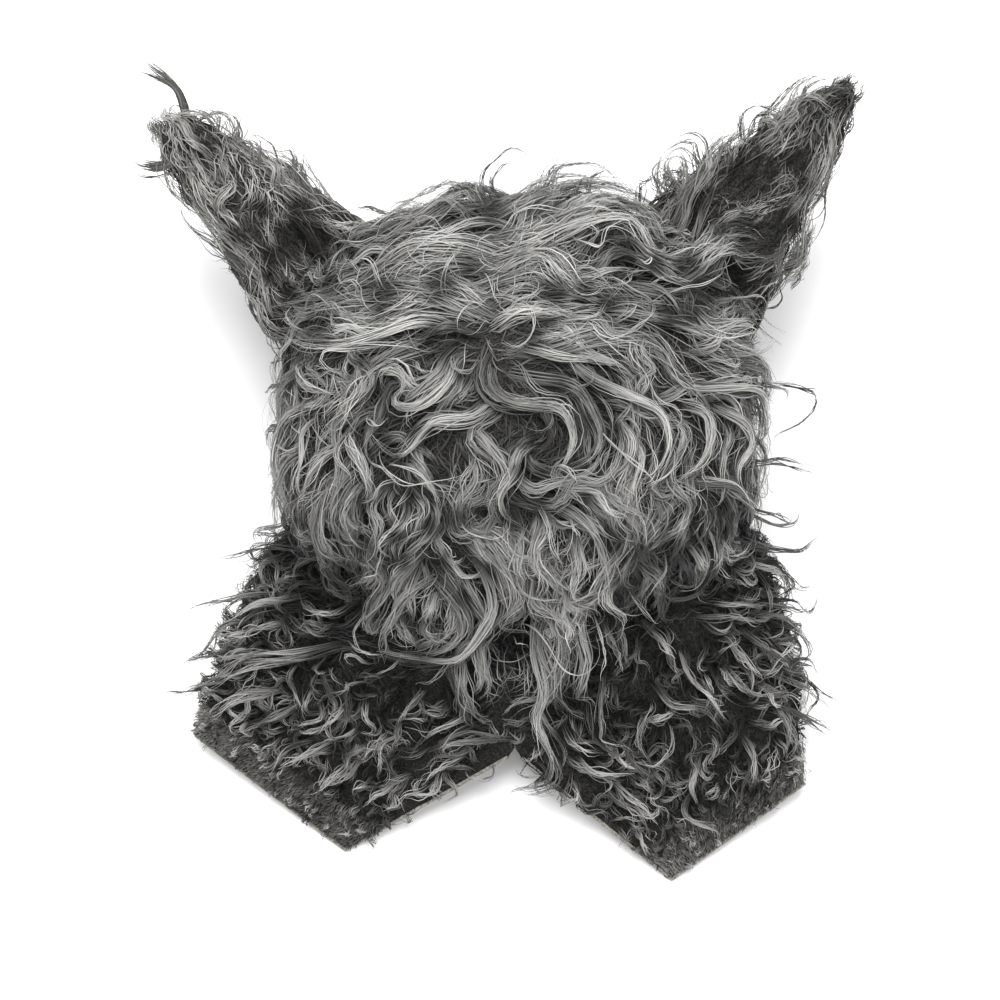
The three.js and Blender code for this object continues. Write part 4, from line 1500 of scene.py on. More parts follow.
CURLS = (
    (455, 318, 480, 303, 510, 306, 530, 318, 532, 338, 518, 351, 502, 344),
    (545, 520, 522, 535, 516, 560, 522, 578, 545, 588, 572, 587, 583, 575),
    (470, 352, 455, 362, 458, 376, 472, 378, 480, 366),
    (404, 455, 424, 464, 434, 480, 440, 498),
    (575, 285, 566, 294, 578, 303, 596, 298, 602, 284),
    (610, 425, 622, 420, 634, 432, 632, 450),
    (540, 470, 560, 462, 574, 474, 568, 490),
    (640, 530, 622, 520, 612, 506, 626, 500),
    (368, 395, 388, 377, 404, 372, 413, 382, 410, 396, 403, 404, 408, 414),
    (374, 410, 377, 422, 386, 427, 396, 420),
    (312, 354, 316, 374, 328, 391, 346, 397),
    (424, 360, 424, 370, 431, 378, 438, 372),
    (345, 497, 366, 499, 382, 494, 388, 483, 400, 478, 414, 480),
    (366, 458, 384, 463, 399, 474, 408, 488),
    (318, 338, 306, 330, 300, 318, 308, 306),
    (586, 300, 572, 292, 578, 280, 592, 282, 603, 290, 604, 276),
    (604, 330, 616, 328, 628, 318, 632, 308),
    (700, 300, 720, 306, 740, 304, 752, 312, 760, 326),
    (700, 352, 728, 360, 748, 356, 756, 342, 744, 332, 722, 326),
    (690, 380, 712, 384, 728, 380, 736, 396, 742, 412),
    (556, 482, 570, 488, 584, 500, 592, 516),
    (566, 508, 573, 516, 578, 526, 574, 536),
    (526, 556, 534, 542, 546, 536, 556, 540),
    (556, 562, 562, 574, 574, 580, 584, 566, 582, 556),
    (664, 540, 656, 560, 646, 578, 640, 592),
    (686, 516, 694, 540, 695, 562, 686, 580, 668, 582),
    (700, 510, 702, 540, 708, 566),
    (620, 575, 634, 592, 648, 610, 660, 612),
    (372, 600, 364, 620, 368, 640, 380, 646),
    (405, 650, 390, 660, 368, 668),
    (460, 640, 446, 658, 430, 672, 416, 676),
    (340, 642, 366, 640, 380, 646, 396, 650),
    (600, 700, 602, 724, 612, 736, 628, 740),
    (668, 720, 672, 736, 664, 752, 652, 760, 642, 754),
    (505, 700, 512, 690, 524, 686, 536, 690),
)
# Matted spots, as places in the picture and reaches, where frizz grows and the hair's painted shade is
# lifted paler.
MATTED_SPOTS = (
    (560, 555, 34), (560, 620, 30), (545, 660, 22), (470, 300, 26), (515, 300, 26), (440, 250, 30),
    (600, 210, 34), (530, 235, 30), (500, 255, 24), (300, 440, 26), (285, 400, 20), (285, 480, 22),
    (745, 420, 28), (752, 465, 24), (735, 380, 22), (735, 335, 22), (690, 235, 24), (645, 480, 24),
    (340, 400, 20), (430, 600, 24), (330, 370, 20), (680, 430, 20), (400, 320, 26), (355, 325, 24),
    (580, 330, 24), (650, 225, 24), (420, 275, 20), (555, 265, 22), (330, 480, 24), (620, 500, 22),
    (470, 460, 16), (400, 520, 18), (440, 380, 16), (620, 350, 18), (700, 490, 18), (500, 660, 18),
)
# The hollows between the locks, as places in the picture and reaches, where the hair is painted darker as
# shade.
HOLLOWS = (
    (385, 293, 14), (440, 285, 15), (468, 268, 9), (462, 336, 14), (428, 336, 10), (380, 308, 8),
    (490, 215, 9), (492, 195, 8), (440, 347, 11), (360, 362, 8), (385, 392, 11), (396, 416, 9),
    (462, 374, 8), (412, 430, 9), (500, 385, 10), (315, 330, 10), (322, 256, 9), (330, 285, 8),
    (555, 290, 12), (584, 292, 9), (625, 250, 15), (600, 240, 12), (690, 265, 12), (705, 287, 14),
    (735, 290, 10), (745, 246, 8), (670, 320, 12), (692, 310, 10), (608, 305, 10), (655, 263, 8),
    (530, 336, 10), (560, 385, 13), (592, 392, 15), (540, 420, 20), (510, 400, 8), (602, 412, 12),
    (520, 432, 14), (545, 440, 12), (582, 422, 13), (612, 430, 11), (520, 470, 8), (545, 465, 9),
    (385, 440, 8), (432, 440, 10), (395, 457, 7), (440, 466, 10), (466, 456, 8), (410, 492, 8),
    (455, 520, 12), (430, 526, 8), (396, 536, 7), (510, 440, 10), (512, 500, 8), (490, 570, 7),
    (292, 524, 9), (365, 505, 7), (365, 545, 9), (400, 562, 8), (442, 560, 8), (462, 600, 8),
    (412, 620, 10), (432, 622, 8), (515, 516, 11), (540, 506, 8), (585, 500, 7), (690, 505, 9),
    (720, 518, 17), (705, 540, 13), (612, 545, 12), (642, 560, 15), (632, 590, 14), (670, 545, 12),
    (682, 562, 14), (700, 592, 20), (678, 602, 18), (655, 622, 14), (612, 622, 10), (742, 532, 10),
    (345, 575, 16), (350, 602, 18), (340, 632, 14), (302, 560, 13), (276, 562, 10), (290, 612, 16),
    (312, 600, 13), (320, 656, 14), (262, 640, 9), (300, 682, 13), (330, 692, 12), (362, 690, 12),
    (402, 690, 14), (440, 680, 13), (420, 662, 12), (386, 716, 12), (340, 750, 11), (402, 760, 11),
    (370, 776, 12), (345, 792, 9), (452, 700, 12), (476, 714, 11), (430, 745, 10), (502, 662, 12),
    (512, 642, 10), (506, 690, 10), (260, 720, 9), (292, 742, 9), (310, 715, 8), (300, 780, 7),
    (650, 642, 12), (702, 640, 14), (720, 662, 12), (692, 690, 12), (640, 692, 14), (610, 652, 10),
    (572, 700, 13), (562, 736, 10), (602, 736, 9), (622, 720, 10), (652, 742, 11), (600, 756, 9),
    (680, 770, 11), (736, 736, 17), (720, 760, 11), (692, 802, 11), (750, 790, 9), (662, 790, 9),
    (720, 812, 9), (742, 700, 11), (660, 666, 10), (700, 716, 8), (766, 736, 9), (685, 742, 9),
    (290, 236, 17), (275, 256, 14), (320, 240, 14), (250, 226, 12), (300, 207, 10), (236, 236, 9),
    (205, 148, 8), (262, 210, 9), (345, 245, 9), (316, 325, 11), (290, 290, 8), (270, 275, 7),
    (745, 176, 19), (762, 166, 15), (800, 163, 10), (770, 236, 14), (745, 226, 10), (716, 196, 9),
    (736, 192, 9), (792, 226, 10), (782, 212, 8), (720, 226, 9), (700, 205, 8), (806, 186, 8),
)
COMBED = CROWN_WAVES + BACK_WAVES + FRINGE_WAVES + NECK_TUFTS + EAR_WAVES


# The mask's pieces

@dataclass(frozen=True)
class Finishes:
    """The materials that the pieces share."""

    hood_hair: bpy.types.Material
    ear_hair: bpy.types.Material
    neck_hair: bpy.types.Material
    pile: bpy.types.Material
    felt: bpy.types.Material
    knit: bpy.types.Material
    edging: bpy.types.Material
    latex: bpy.types.Material

    @classmethod
    def built(cls) -> "Finishes":
        """Build every finish once."""
        return cls(
            hood_hair=HairFinish(
                "grey_long_hair", (0.022, 0.0215, 0.020), (0.225, 0.224, 0.212), (0.53, 0.526, 0.50)
            ).build(),
            ear_hair=HairFinish(
                "grey_ear_hair", (0.010, 0.0097, 0.009), (0.170, 0.168, 0.159), (0.47, 0.465, 0.44),
                specular=0.08, sheen=0.0,
            ).build(),
            neck_hair=HairFinish(
                "charcoal_short_hair", (0.007, 0.0068, 0.0064), (0.105, 0.104, 0.098),
                (0.45, 0.445, 0.43), specular=0.2, sheen=0.04,
            ).build(),
            pile=HairFinish(
                "brown_grey_pile", (0.03, 0.029, 0.026), (0.13, 0.126, 0.114), (0.30, 0.29, 0.265),
                root_shade=0.5, specular=0.3,
            ).build(),
            # Near black: the felt's own dark colour, darkened further as painted shade at the hair's
            # roots.
            felt=ClothFinish(
                "dark_felt", (0.006, 0.0058, 0.0055), (0.034, 0.033, 0.031),
                mottle=760.0, specular=0.15, sheen=0.03,
            ).build(),
            knit=ClothFinish("beige_knit", (0.40, 0.375, 0.32), (0.54, 0.51, 0.44), knit=260.0).build(),
            edging=ClothFinish(
                "beige_edging", (0.17, 0.16, 0.14), (0.40, 0.38, 0.335), mottle=500.0, knit=260.0
            ).build(),
            latex=LatexFinish("dark_latex", (0.020, 0.016, 0.014), (0.060, 0.050, 0.043)).build(),
        )


@dataclass
class FurredPart:
    """A part of the mask that carries hair, with what all such parts share."""

    top: TopForm
    comb: Comb
    finishes: Finishes
    coat: Coat


@dataclass
class PairedPart(FurredPart):
    """A part of which the mask has one on each side."""

    KIND = ""  # the first words of its pieces' names
    PARTING = 500  # place across the picture that parts the left one's strokes from the right one's

    side: Side

    @property
    def name(self) -> str:
        """Return the part's name."""
        return f"{self.KIND}_{self.side.value}"

    def groomer(self, seed: int) -> Groomer:
        """Return a groomer with the given seed on the left and the next one on the right."""
        return Groomer(seed + (0 if self.side is Side.LEFT else 1), self.comb)

    def own(self, strokes: tuple) -> tuple:
        """Return the strokes that start on this part's side."""
        is_left = self.side is Side.LEFT
        return tuple(stroke for stroke in strokes if (stroke[0] < self.PARTING) == is_left)


@dataclass
class Hood(FurredPart):
    """The hood: skin, lining and long hair."""

    MIDDLE_X = 8.0  # parts the hair at the sides into its two pieces
    CROWN_Y = 62.0  # the crown's piece of hair starts here

    head: HeadForm
    rings: int = 44
    spokes: int = 80
    lining_inset: float = 11.0
    opening: tuple[float, float, float, float] = (9.0, 8.0, 87.0, 85.0)  # middle and half sizes
    frizz: int = 2200
    seed: int = 11

    def from_face(self, points: Array) -> Array:
        """Return how far points lie from the face's middle, with 1 at the opening's edge."""
        middle_x, middle_y, half_x, half_y = self.opening
        return np.hypot((points[:, 0] - middle_x) / half_x, (points[:, 1] - middle_y) / half_y)

    def shell(self, inset: float) -> tuple[Array, Array]:
        """Return the hood's shell at an inset, open at the neck and at the face.

        It is the head's form by rings and spokes. Faces inside the face's oval or inside the neck's
        arch are left out.
        """
        rise = np.linspace(math.pi / 2 - 0.02, -math.pi / 2 + 0.02, self.rings)[:, None]
        turn = np.linspace(0.0, TAU, self.spokes, endpoint=False)[None, :]
        points = self.head.ring_point(turn, rise, inset).reshape(-1, 3)
        points[:, 2] = np.maximum(points[:, 2], 0.5)
        quads = grid_quads(self.rings, self.spokes, closed=True)
        middle = points[quads].mean(axis=1)
        in_face = (self.from_face(middle) < 1) & (middle[:, 2] < 30)
        level = np.abs((middle[:, 0] - 9.0) / 122.0) ** 2.6 + np.abs((middle[:, 2] - 88.0) / 66.0) ** 2.6
        in_neck = (level < 1) & (middle[:, 1] < -40.0)
        return drop_loose(points, quads[~(in_face | in_neck)])

    def whorl_cap(self, inset: float) -> tuple[Array, Array]:
        """Return the small ring of faces that closes the top pole."""
        rise = np.linspace(math.pi / 2 - 1e-3, math.pi / 2 - 0.03, 3)[:, None]
        turn = np.linspace(0.0, TAU, 24, endpoint=False)[None, :]
        return self.head.ring_point(turn, rise, inset).reshape(-1, 3), grid_quads(3, 24, closed=True)

    def build_skin(self) -> None:
        """Build the felt skin outside and the knitted lining inside."""
        for name, inset, material, nodes in (
            ("hood_skin", self.head.inset, self.finishes.felt, ("hood",)),
            ("hood_lining", self.lining_inset, self.finishes.knit, ()),
        ):
            points, quads = self.shell(inset)
            cap_points, cap_quads = self.whorl_cap(inset)
            vertices = np.concatenate([points, cap_points])
            skin = add_mesh(name, vertices, np.concatenate([quads, cap_quads + len(points)]))
            thicken(skin, 1.6)
            finish_piece(skin, Slot.HOOD_FUR, material, *nodes)

    def roots(self, groomer: Groomer, count: int) -> Array:
        """Return evenly scattered places on the whole skin, fewer under its widest level."""
        index = np.arange(count) + 0.5
        rise = np.arcsin(1 - 2 * index / count)
        turn = math.pi * (1 + math.sqrt(5)) * index
        ways = triple(np.cos(turn) * np.cos(rise), np.sin(turn) * np.cos(rise), np.sin(rise))
        ways = unit(ways + groomer.rng.normal(0.0, 0.9 / math.sqrt(count), ways.shape))
        places = self.head.settle(np.array(self.head.centre) + 100.0 * ways)
        under = (places[:, 2] < 12) & (self.from_face(places) < 1.12)
        neck = (places[:, 1] < -95) & (places[:, 2] < 140) & (np.abs(places[:, 0] - 9) < 112)
        share = mix(0.3, 1.0, smooth((places[:, 2] - 50) / 90))
        return places[~under & ~neck & (groomer.rng.random(count) < share)]

    def build_hair(self) -> None:
        """Grow the hood's undercoat, locks and wisps, parted into pieces by where they are rooted."""
        groomer = Groomer(self.seed, self.comb)
        # The undercoat is near black: partly its own colour, partly painted shade in the gaps between the
        # locks.
        undercoat = LockStyle(
            length=(24, 46), strands=1, radius=0.3, lift=(0.3, 2.4), swing=(0.3, 0.7), wave=(30, 50),
            scatter=0.4, roll=0.3, width=0.85, spread=0.014, steps=6, tone=(0.0, 0.22), patches=0.1,
            shaded=1.0,
        )
        long_locks = LockStyle(
            length=(46, 80), strands=17, radius=3.8, tip_share=0.15, thickness=3.5, lift=(1.5, 8.0),
            swing=(0.25, 0.6), wave=(36, 60), curl=1.4, scatter=0.3, roll=0.85, width=0.75,
            spread=0.012, tone=(0.26, 0.64), loose=0.15, patches=0.1, shaded=0.9,
        )
        wisps = LockStyle(
            length=(40, 74), strands=4, radius=1.8, lift=(5.0, 10.0), tip_lift=4.0, swing=(0.4, 1.0),
            wave=(28, 50), curl=2.2, scatter=0.4, width=0.5, tone=(0.4, 0.9), loose=0.2,
        )
        regions = {
            "hood_hair_crown": lambda p: p[:, 1] > self.CROWN_Y,
            "hood_hair_left": lambda p: (p[:, 1] <= self.CROWN_Y) & (p[:, 0] < self.MIDDLE_X),
            "hood_hair_right": lambda p: (p[:, 1] <= self.CROWN_Y) & (p[:, 0] >= self.MIDDLE_X),
        }
        layers = (("undercoat", undercoat, 11000), ("locks", long_locks, 640), ("wisps", wisps, 460))
        for layer, style, count in layers:
            roots = self.roots(groomer, count)
            # Painted shade: hair lower on the head is darker.
            shade = -0.15 * smooth((120 - roots[:, 2]) / 60)
            strands = groomer.locks(self.head, roots, style, tone_shift=shade)
            for name, test in regions.items():
                picked = strands.chosen(test(strands.points[:, 0]))
                self.coat.add(f"{name}_{layer}", picked, Slot.HOOD_FUR, self.finishes.hood_hair)

    def build_waves(self) -> None:
        """Lay the drawn locks over the crown and the back, and the fringe over the neck."""
        groomer = Groomer(self.seed + 1, self.comb)
        mat = LockStyle(
            strands=26, radius=5.2, tip_share=0.35, thickness=3.5, lift=(3.5, 8.0), roll=0.65, sway=1.3,
            steps=14, width=0.6, spread=0.009, shade_start=0.3, tone=(0.42, 0.62), echoes=2,
            echo_reach=11.0, loose=0.3, shaded=0.7,
        )
        wave = LockStyle(
            strands=26, radius=3.6, tip_share=0.12, thickness=4.5, lift=(6.0, 12.0), roll=0.85,
            sway=1.0, steps=15, width=0.6, spread=0.009, shade_start=0.12, tone=(0.52, 0.76), echoes=1,
            echo_reach=7.0, loose=0.18, shaded=0.5,
        )
        curl = LockStyle(
            strands=4, radius=1.0, tip_share=0.5, thickness=1.2, lift=(9.0, 13.0), steps=18, width=0.5,
            tone=(0.55, 0.85), loose=0.0, shaded=0.1, keep_up=0.6,
        )
        pale_hair = LockStyle(
            strands=2, radius=0.8, tip_share=0.6, thickness=1.0, lift=(12.0, 15.0), steps=20,
            width=0.65, tone=(0.8, 1.0), loose=0.0, shaded=0.0, keep_up=0.4,
        )
        edge_hair = LockStyle(
            strands=7, radius=1.5, tip_share=0.15, thickness=1.5, lift=(4.0, 8.0), steps=14, width=0.6,
            tone=(0.15, 0.4), echoes=1, echo_reach=4.0, loose=0.1, shaded=0.0, keep_up=0.8,
        )
        for name, strokes, style in (
            ("crown_waves", CROWN_WAVES, mat),
            ("back_waves", BACK_WAVES, wave),
            ("fringe_waves", FRINGE_WAVES, wave),
            ("curls", CURLS, curl),
            ("pale_hairs", PALE_HAIRS, pale_hair),
            ("edge_hairs", EDGE_HAIRS, edge_hair),
        ):
            strands = groomer.drawn(self.top, strokes, style)
            self.coat.add(f"hood_{name}", strands, Slot.HOOD_FUR, self.finishes.hood_hair)

    def build_frizz(self) -> None:
        """Scatter fine curled hairs over the matted spots, in proportion to their size."""
        groomer = Groomer(self.seed + 3, self.comb)
        style = LockStyle(
            length=(20, 40), strands=1, radius=0.3, lift=(3.0, 9.0), swing=(0.3, 0.7), wave=(34, 60),
            curl=1.4, scatter=0.5, roll=0.4, sway=0.3, width=0.42, steps=9, shade_start=0.3,
            tone=(0.35, 0.6), shaded=0.4,
        )
        marks = np.array(MATTED_SPOTS, float)
        share = marks[:, 2] ** 2 / (marks[:, 2] ** 2).sum()
        which = groomer.rng.choice(len(marks), self.frizz, p=share)
        seen = marks[which, :2] + 0.6 * marks[which, 2:] * groomer.rng.normal(0.0, 1.0, (self.frizz, 2))
        x, y, _ = np.moveaxis(self.comb.picture.drop(seen, self.top, 0.0), -1, 0)
        on_mask = (self.top.dome_height(self.head, x, y) > 70) | ((np.abs(x - 8) < 80) & (y < -60))
        strands = groomer.locks(self.top, np.stack([x, y], axis=-1)[on_mask] / 100, style)
        self.coat.add("hood_frizz", strands, Slot.HOOD_FUR, self.finishes.hood_hair)

    def build_fringe(self) -> None:
        """Grow the locks that fall from the hood over the neck."""
        groomer = Groomer(self.seed + 2, self.comb)
        style = LockStyle(
            length=(48, 88), strands=18, radius=3.8, tip_share=0.15, lift=(2.0, 9.0), swing=(0.3, 0.7),
            wave=(32, 52), curl=1.7, scatter=0.32, width=0.65, spread=0.010, steps=13, tone=(0.3, 0.85),
            loose=0.16, patches=0.1, shaded=0.7,
        )
        count = 120
        x = groomer.between((-112.0, 130.0), count)
        y = -58.0 - 44.0 * groomer.rng.random(count) * (1 - (np.abs(x - 9) / 150) ** 3)
        middleness = 1 - np.clip(np.abs(x - 9) / 130, 0, 1)
        scale = mix(0.5, 1.0, smooth(middleness / 0.7))
        strands = groomer.locks(self.top, np.stack([x, y], axis=-1) / 100, style, length_scale=scale)
        self.coat.add("hood_fringe", strands, Slot.HOOD_FUR, self.finishes.hood_hair)

    def build(self) -> None:
        """Build the whole hood."""
        self.build_skin()
        self.build_hair()
        self.build_waves()
        self.build_fringe()
        self.build_frizz()


@dataclass
class Ear(PairedPart):
    """One ear: its skin, and hair on both sides."""

    KIND = "ear"
    LEAST = 122.0  # the lowest height of its drawn hair
    SHADE_LOSS = 0.12  # painted shade: the tone lost in buried locks, which are thin here
    # Painted shade: the tone lost by the buried undercoat.
    UNDERCOAT_SHADE_LOSS = 0.45
    BACK, HOLLOW = 0.72, 0.28  # levels of the two skins in the ear's thickness

    tone_shift: float
    columns: int = 24
    rows: int = 36
    seed: int = 31

    def build_skin(self) -> None:
        """Build the closed skin: both faces of the ear, joined round the edge."""
        v = np.linspace(0.02, 0.97, self.rows)
        rings = []
        for level in (self.BACK, self.HOLLOW):
            form = EarForm(side=self.side, level=level)
            u, w = np.meshgrid(np.linspace(0.03, 0.97, self.columns), v)
            rings.append(form.surface(u, w))
        ring = np.concatenate([rings[0], rings[1][:, ::-1]], axis=1)
        end = np.broadcast_to(ring[-1:].mean(axis=1, keepdims=True), ring[-1:].shape)
        ring = np.concatenate([ring, end])
        rows, columns, _ = ring.shape
        skin = add_mesh(f"{self.name}_skin", ring.reshape(-1, 3), grid_quads(rows, columns, closed=True))
        finish_piece(skin, Slot.EAR_FUR, self.finishes.felt, self.name)

    def build_hair(self) -> None:
        """Grow matted hair lengthwise on the back, and shorter hair in the hollow."""
        groomer = self.groomer(self.seed)
        undercoat = LockStyle(
            length=(22, 38), strands=1, radius=0.3, lift=(0.3, 4.5), swing=(0.1, 0.35), wave=(26, 44),
            scatter=0.22, roll=0.4, width=0.7, spread=0.010, shade_start=0.25, steps=6,
            tone=(0.3, 0.52), patches=0.22, shaded=0.7,
        )
        back = LockStyle(
            length=(34, 54), strands=14, radius=4.2, tip_share=0.3, thickness=4.0, lift=(3.5, 8.0),
            swing=(0.5, 0.9), wave=(30, 46), curl=1.6, scatter=0.35, roll=0.65, width=0.68,
            spread=0.009, shade_start=0.12, steps=10, tone=(0.34, 0.72), loose=0.2, patches=0.2,
            shaded=0.3,
        )
        wisps = LockStyle(
            length=(28, 52), strands=5, radius=1.8, lift=(4.0, 8.0), tip_lift=8.0, swing=(0.5, 1.1),
            wave=(22, 38), curl=2.0, scatter=0.6, width=0.48, steps=10, tone=(0.4, 0.9), loose=0.3,
        )
        groups = {"undercoat": [], "hair": []}
        for layer, level, style, count in (
            ("undercoat", self.BACK, undercoat, 2700),
            ("undercoat", self.HOLLOW, undercoat, 600),
            ("hair", self.BACK, back, 80),
            ("hair", self.BACK, wisps, 30),
            ("hair", self.HOLLOW, back, 10),
        ):
            form = EarForm(side=self.side, level=level)
            u = groomer.between((0.0, 1.0), count)
            v = groomer.rng.random(count) ** 1.15 * 0.96
            scale = mix(1.0, 0.6, v)
            places = np.stack([u, v], axis=-1)
            groups[layer].append(groomer.locks(form, places, style, scale, self.tone_shift))
        for layer, parts in groups.items():
            loss = self.UNDERCOAT_SHADE_LOSS if layer == "undercoat" else self.SHADE_LOSS
            strands = Strands.joined(parts)
            self.coat.add(f"{self.name}_{layer}", strands, Slot.EAR_FUR, self.finishes.ear_hair, loss)

    def build_waves(self) -> None:
        """Lay the drawn locks and the twisted wisps of this ear's side."""
        groomer = self.groomer(self.seed + 2)
        wave = LockStyle(
            strands=15, radius=2.8, tip_share=0.25, thickness=3.5, lift=(4.0, 8.0), sway=1.1, steps=13,
            width=0.6, spread=0.009, shade_start=0.2, tone=(0.5, 0.8), echoes=2, echo_reach=7.0,
            loose=0.28, shaded=0.4,
        )
        wisp = LockStyle(
            strands=24, radius=3.0, tip_share=1.1, thickness=1.4, lift=(2.0, 4.0), sway=0.3, steps=13,
            width=0.9, spread=0.01, shade_start=0.3, tone=(0.2, 0.45), loose=0.0, shaded=0.0,
        )
        thin = LockStyle(
            strands=5, radius=0.8, tip_share=0.6, thickness=0.8, lift=(2.0, 4.0), sway=0.3, steps=14,
            width=0.6, shade_start=0.3, tone=(0.15, 0.4), loose=0.05, shaded=0.0,
        )
        hair = self.finishes.ear_hair
        for name, strokes, style in (
            ("waves", EAR_WAVES, wave), ("wisps", EAR_WISPS, wisp), ("hairs", EAR_HAIRS, thin),
        ):
            own = self.own(strokes)
            if own:
                strands = groomer.drawn(self.top, own, style, self.LEAST)
                self.coat.add(f"{self.name}_{name}", strands, Slot.EAR_FUR, hair, self.SHADE_LOSS)

    def build(self) -> None:
        """Build the whole ear."""
        self.build_skin()
        self.build_hair()
        self.build_waves()


@dataclass
class NeckPanel(PairedPart):
    """One half of the neck: felt outside, knit inside, a turned hem, and short curly hair."""

    KIND = "neck_panel"
    PARTING = 520
    BACK_SHARE = 0.82  # of the hair, the rest growing round the fold and under the throat
    HEIGHT = 150.0  # about the length from the head to the hem

    columns: int = 56
    rows: int = 28
    seed: int = 51

    def sheet(self, low: float, high: float) -> tuple[Array, Array]:
        """Return a closed sheet between two heights over the backing's inner face."""
        turn, v = np.meshgrid(np.linspace(0.0, 2.0, self.columns), np.linspace(0.0, 1.0, self.rows))
        inner, outer = (NeckForm(side=self.side, lift=lift).surface(turn, v) for lift in (low, high))
        ring = np.concatenate([outer, inner[:, ::-1]], axis=1)
        rows, columns, _ = ring.shape
        quads = grid_quads(rows, columns, closed=True)
        if self.side is Side.LEFT:
            quads = quads[:, ::-1]
        half = self.columns
        ends = []
        for row in (0, rows - 1):
            across = row * columns + np.arange(half - 1)
            opposite = row * columns + columns - 1 - np.arange(half - 1)
            cap = np.stack([across, across + 1, opposite - 1, opposite], axis=-1)
            ends.append(cap if (row == 0) == (self.side is Side.RIGHT) else cap[:, ::-1])
        return ring.reshape(-1, 3), np.concatenate([quads, *ends])

    def build_cloth(self) -> None:
        """Build the felt and the knit."""
        felt = add_mesh(f"{self.name}_felt", *self.sheet(1.6, 3.4))
        finish_piece(felt, Slot.NECK_FUR, self.finishes.felt, self.name)
        knit = add_mesh(f"{self.name}_knit", *self.sheet(0.1, 1.5))
        finish_piece(knit, Slot.NECK_FUR, self.finishes.knit)

    def hem_path(self) -> Array:
        """Return the hem's line: down the slit from the notch to the tip, and on round to the throat."""
        form = NeckForm(side=self.side, lift=2.4)
        slit_v = np.linspace(form.notch_at + 0.02, 1.0, 40)
        turn = np.linspace(0.0, 2.0, 110)
        slit = form.surface(np.zeros_like(slit_v), slit_v)
        hem = form.surface(turn, np.ones_like(turn))
        return np.concatenate([slit, hem[1:]])

    def build_hem(self) -> None:
        """Build the turned hem: a flattened tube along the panel's free edge."""
        path = self.hem_path()
        tangent = unit(np.gradient(path, axis=0))
        lean = np.array([0.0, -0.35, 0.94])
        up = unit(lean - dot(lean, tangent) * tangent)
        across = np.cross(tangent, up)
        angle = np.linspace(0.0, TAU, 10, endpoint=False)[None, :, None]
        ring = path[:, None] + 1.8 * np.cos(angle) * up[:, None] + 1.3 * np.sin(angle) * across[:, None]
        ring[..., 2] = np.maximum(ring[..., 2], 0.3)
        rows, columns, _ = ring.shape
        hem = add_mesh(f"{self.name}_hem", ring.reshape(-1, 3), grid_quads(rows, columns, closed=True))
        finish_piece(hem, Slot.NECK_FUR, self.finishes.edging)

    def build_hair(self) -> None:
        """Grow short curly tufts, sparser under the throat and very short at the hem."""
        groomer = self.groomer(self.seed)
        form = NeckForm(side=self.side, lift=3.4, flow_across=0.25)
        # The undercoat is near black: partly its own colour, partly painted shade in the gaps between the
        # tufts.
        undercoat = LockStyle(
            length=(14, 28), strands=1, radius=0.3, lift=(0.3, 2.0), swing=(0.4, 0.8), wave=(20, 34),
            scatter=0.5, roll=0.3, width=0.8, spread=0.014, steps=5, tone=(0.0, 0.26), root_depth=0.5,
            patches=0.14, shaded=0.6,
        )
        tufts = LockStyle(
            length=(24, 42), strands=8, radius=2.0, thickness=2.8, tip_share=0.12, lift=(2.0, 10.0),
            swing=(0.7, 1.2), wave=(24, 40), curl=2.2, scatter=0.55, width=0.62, spread=0.012, steps=10,
            tone=(0.3, 1.0), root_depth=0.6, loose=0.12, patches=0.15, shaded=0.6,
        )
        wisps = LockStyle(
            length=(28, 48), strands=4, radius=1.6, lift=(4.0, 8.0), tip_lift=6.0, swing=(0.5, 1.1),
            wave=(20, 36), curl=1.8, scatter=0.6, width=0.48, steps=10, tone=(0.45, 0.95), loose=0.3,
        )
        pile = LockStyle(
            length=(4.5, 7.5), strands=1, radius=0.2, lift=(0.6, 1.6), swing=(0.0, 0.2), wave=(20, 30),
            curl=0.2, scatter=0.25, roll=0.3, sway=0.15, width=0.7, spread=0.01, steps=3,
            tone=(0.45, 0.6), root_depth=0.4, shade_start=0.25,
        )
        groups = {"undercoat": [], "pile": [], "hair": []}
        for layer, style, count, first_v, least in (
            ("undercoat", undercoat, 2700, 0.02, 0.14), ("pile", pile, 4200, 0.88, 0.8),
            ("hair", tufts, 520, 0.02, 0.12), ("hair", wisps, 170, 0.02, 0.12),
        ):
            on_back = groomer.rng.random(count) < self.BACK_SHARE
            back, under = groomer.between((0.0, 1.12), count), groomer.between((1.0, 2.0), count)
            turn = np.where(on_back, back, under)
            v = groomer.between((first_v, 0.985), count)
            scale = mix(least, 1.0, smooth(((1 - v) * self.HEIGHT - 6.0) / 46.0))
            # Painted shade darkens the upper half, under the hood; the hair round the side fold is paler.
            shade = 0.3 * smooth((turn - 0.8) / 0.25) - 0.25 * smooth((0.5 - v) / 0.3)
            groups[layer].append(groomer.locks(form, np.stack([turn, v], axis=-1), style, scale, shade))
        for layer, parts in groups.items():
            strands = Strands.joined(parts)
            hair = self.finishes.pile if layer == "pile" else self.finishes.neck_hair
            self.coat.add(f"{self.name}_{layer}", strands, Slot.NECK_FUR, hair)

    def build_waves(self) -> None:
        """Lay the drawn tufts of this panel's side."""
        groomer = self.groomer(self.seed + 2)
        tuft = LockStyle(
            strands=13, radius=2.1, tip_share=0.1, thickness=3.0, lift=(4.0, 9.0), steps=11, width=0.55,
            spread=0.008, tone=(0.65, 1.0), echoes=1, echo_reach=8.0, loose=0.14, shaded=0.4,
        )
        strands = groomer.drawn(self.top, self.own(NECK_TUFTS), tuft)
        self.coat.add(f"{self.name}_tufts", strands, Slot.NECK_FUR, self.finishes.neck_hair)

    def build(self) -> None:
        """Build the whole panel."""
        self.build_cloth()
        self.build_hem()
        self.build_hair()
        self.build_waves()


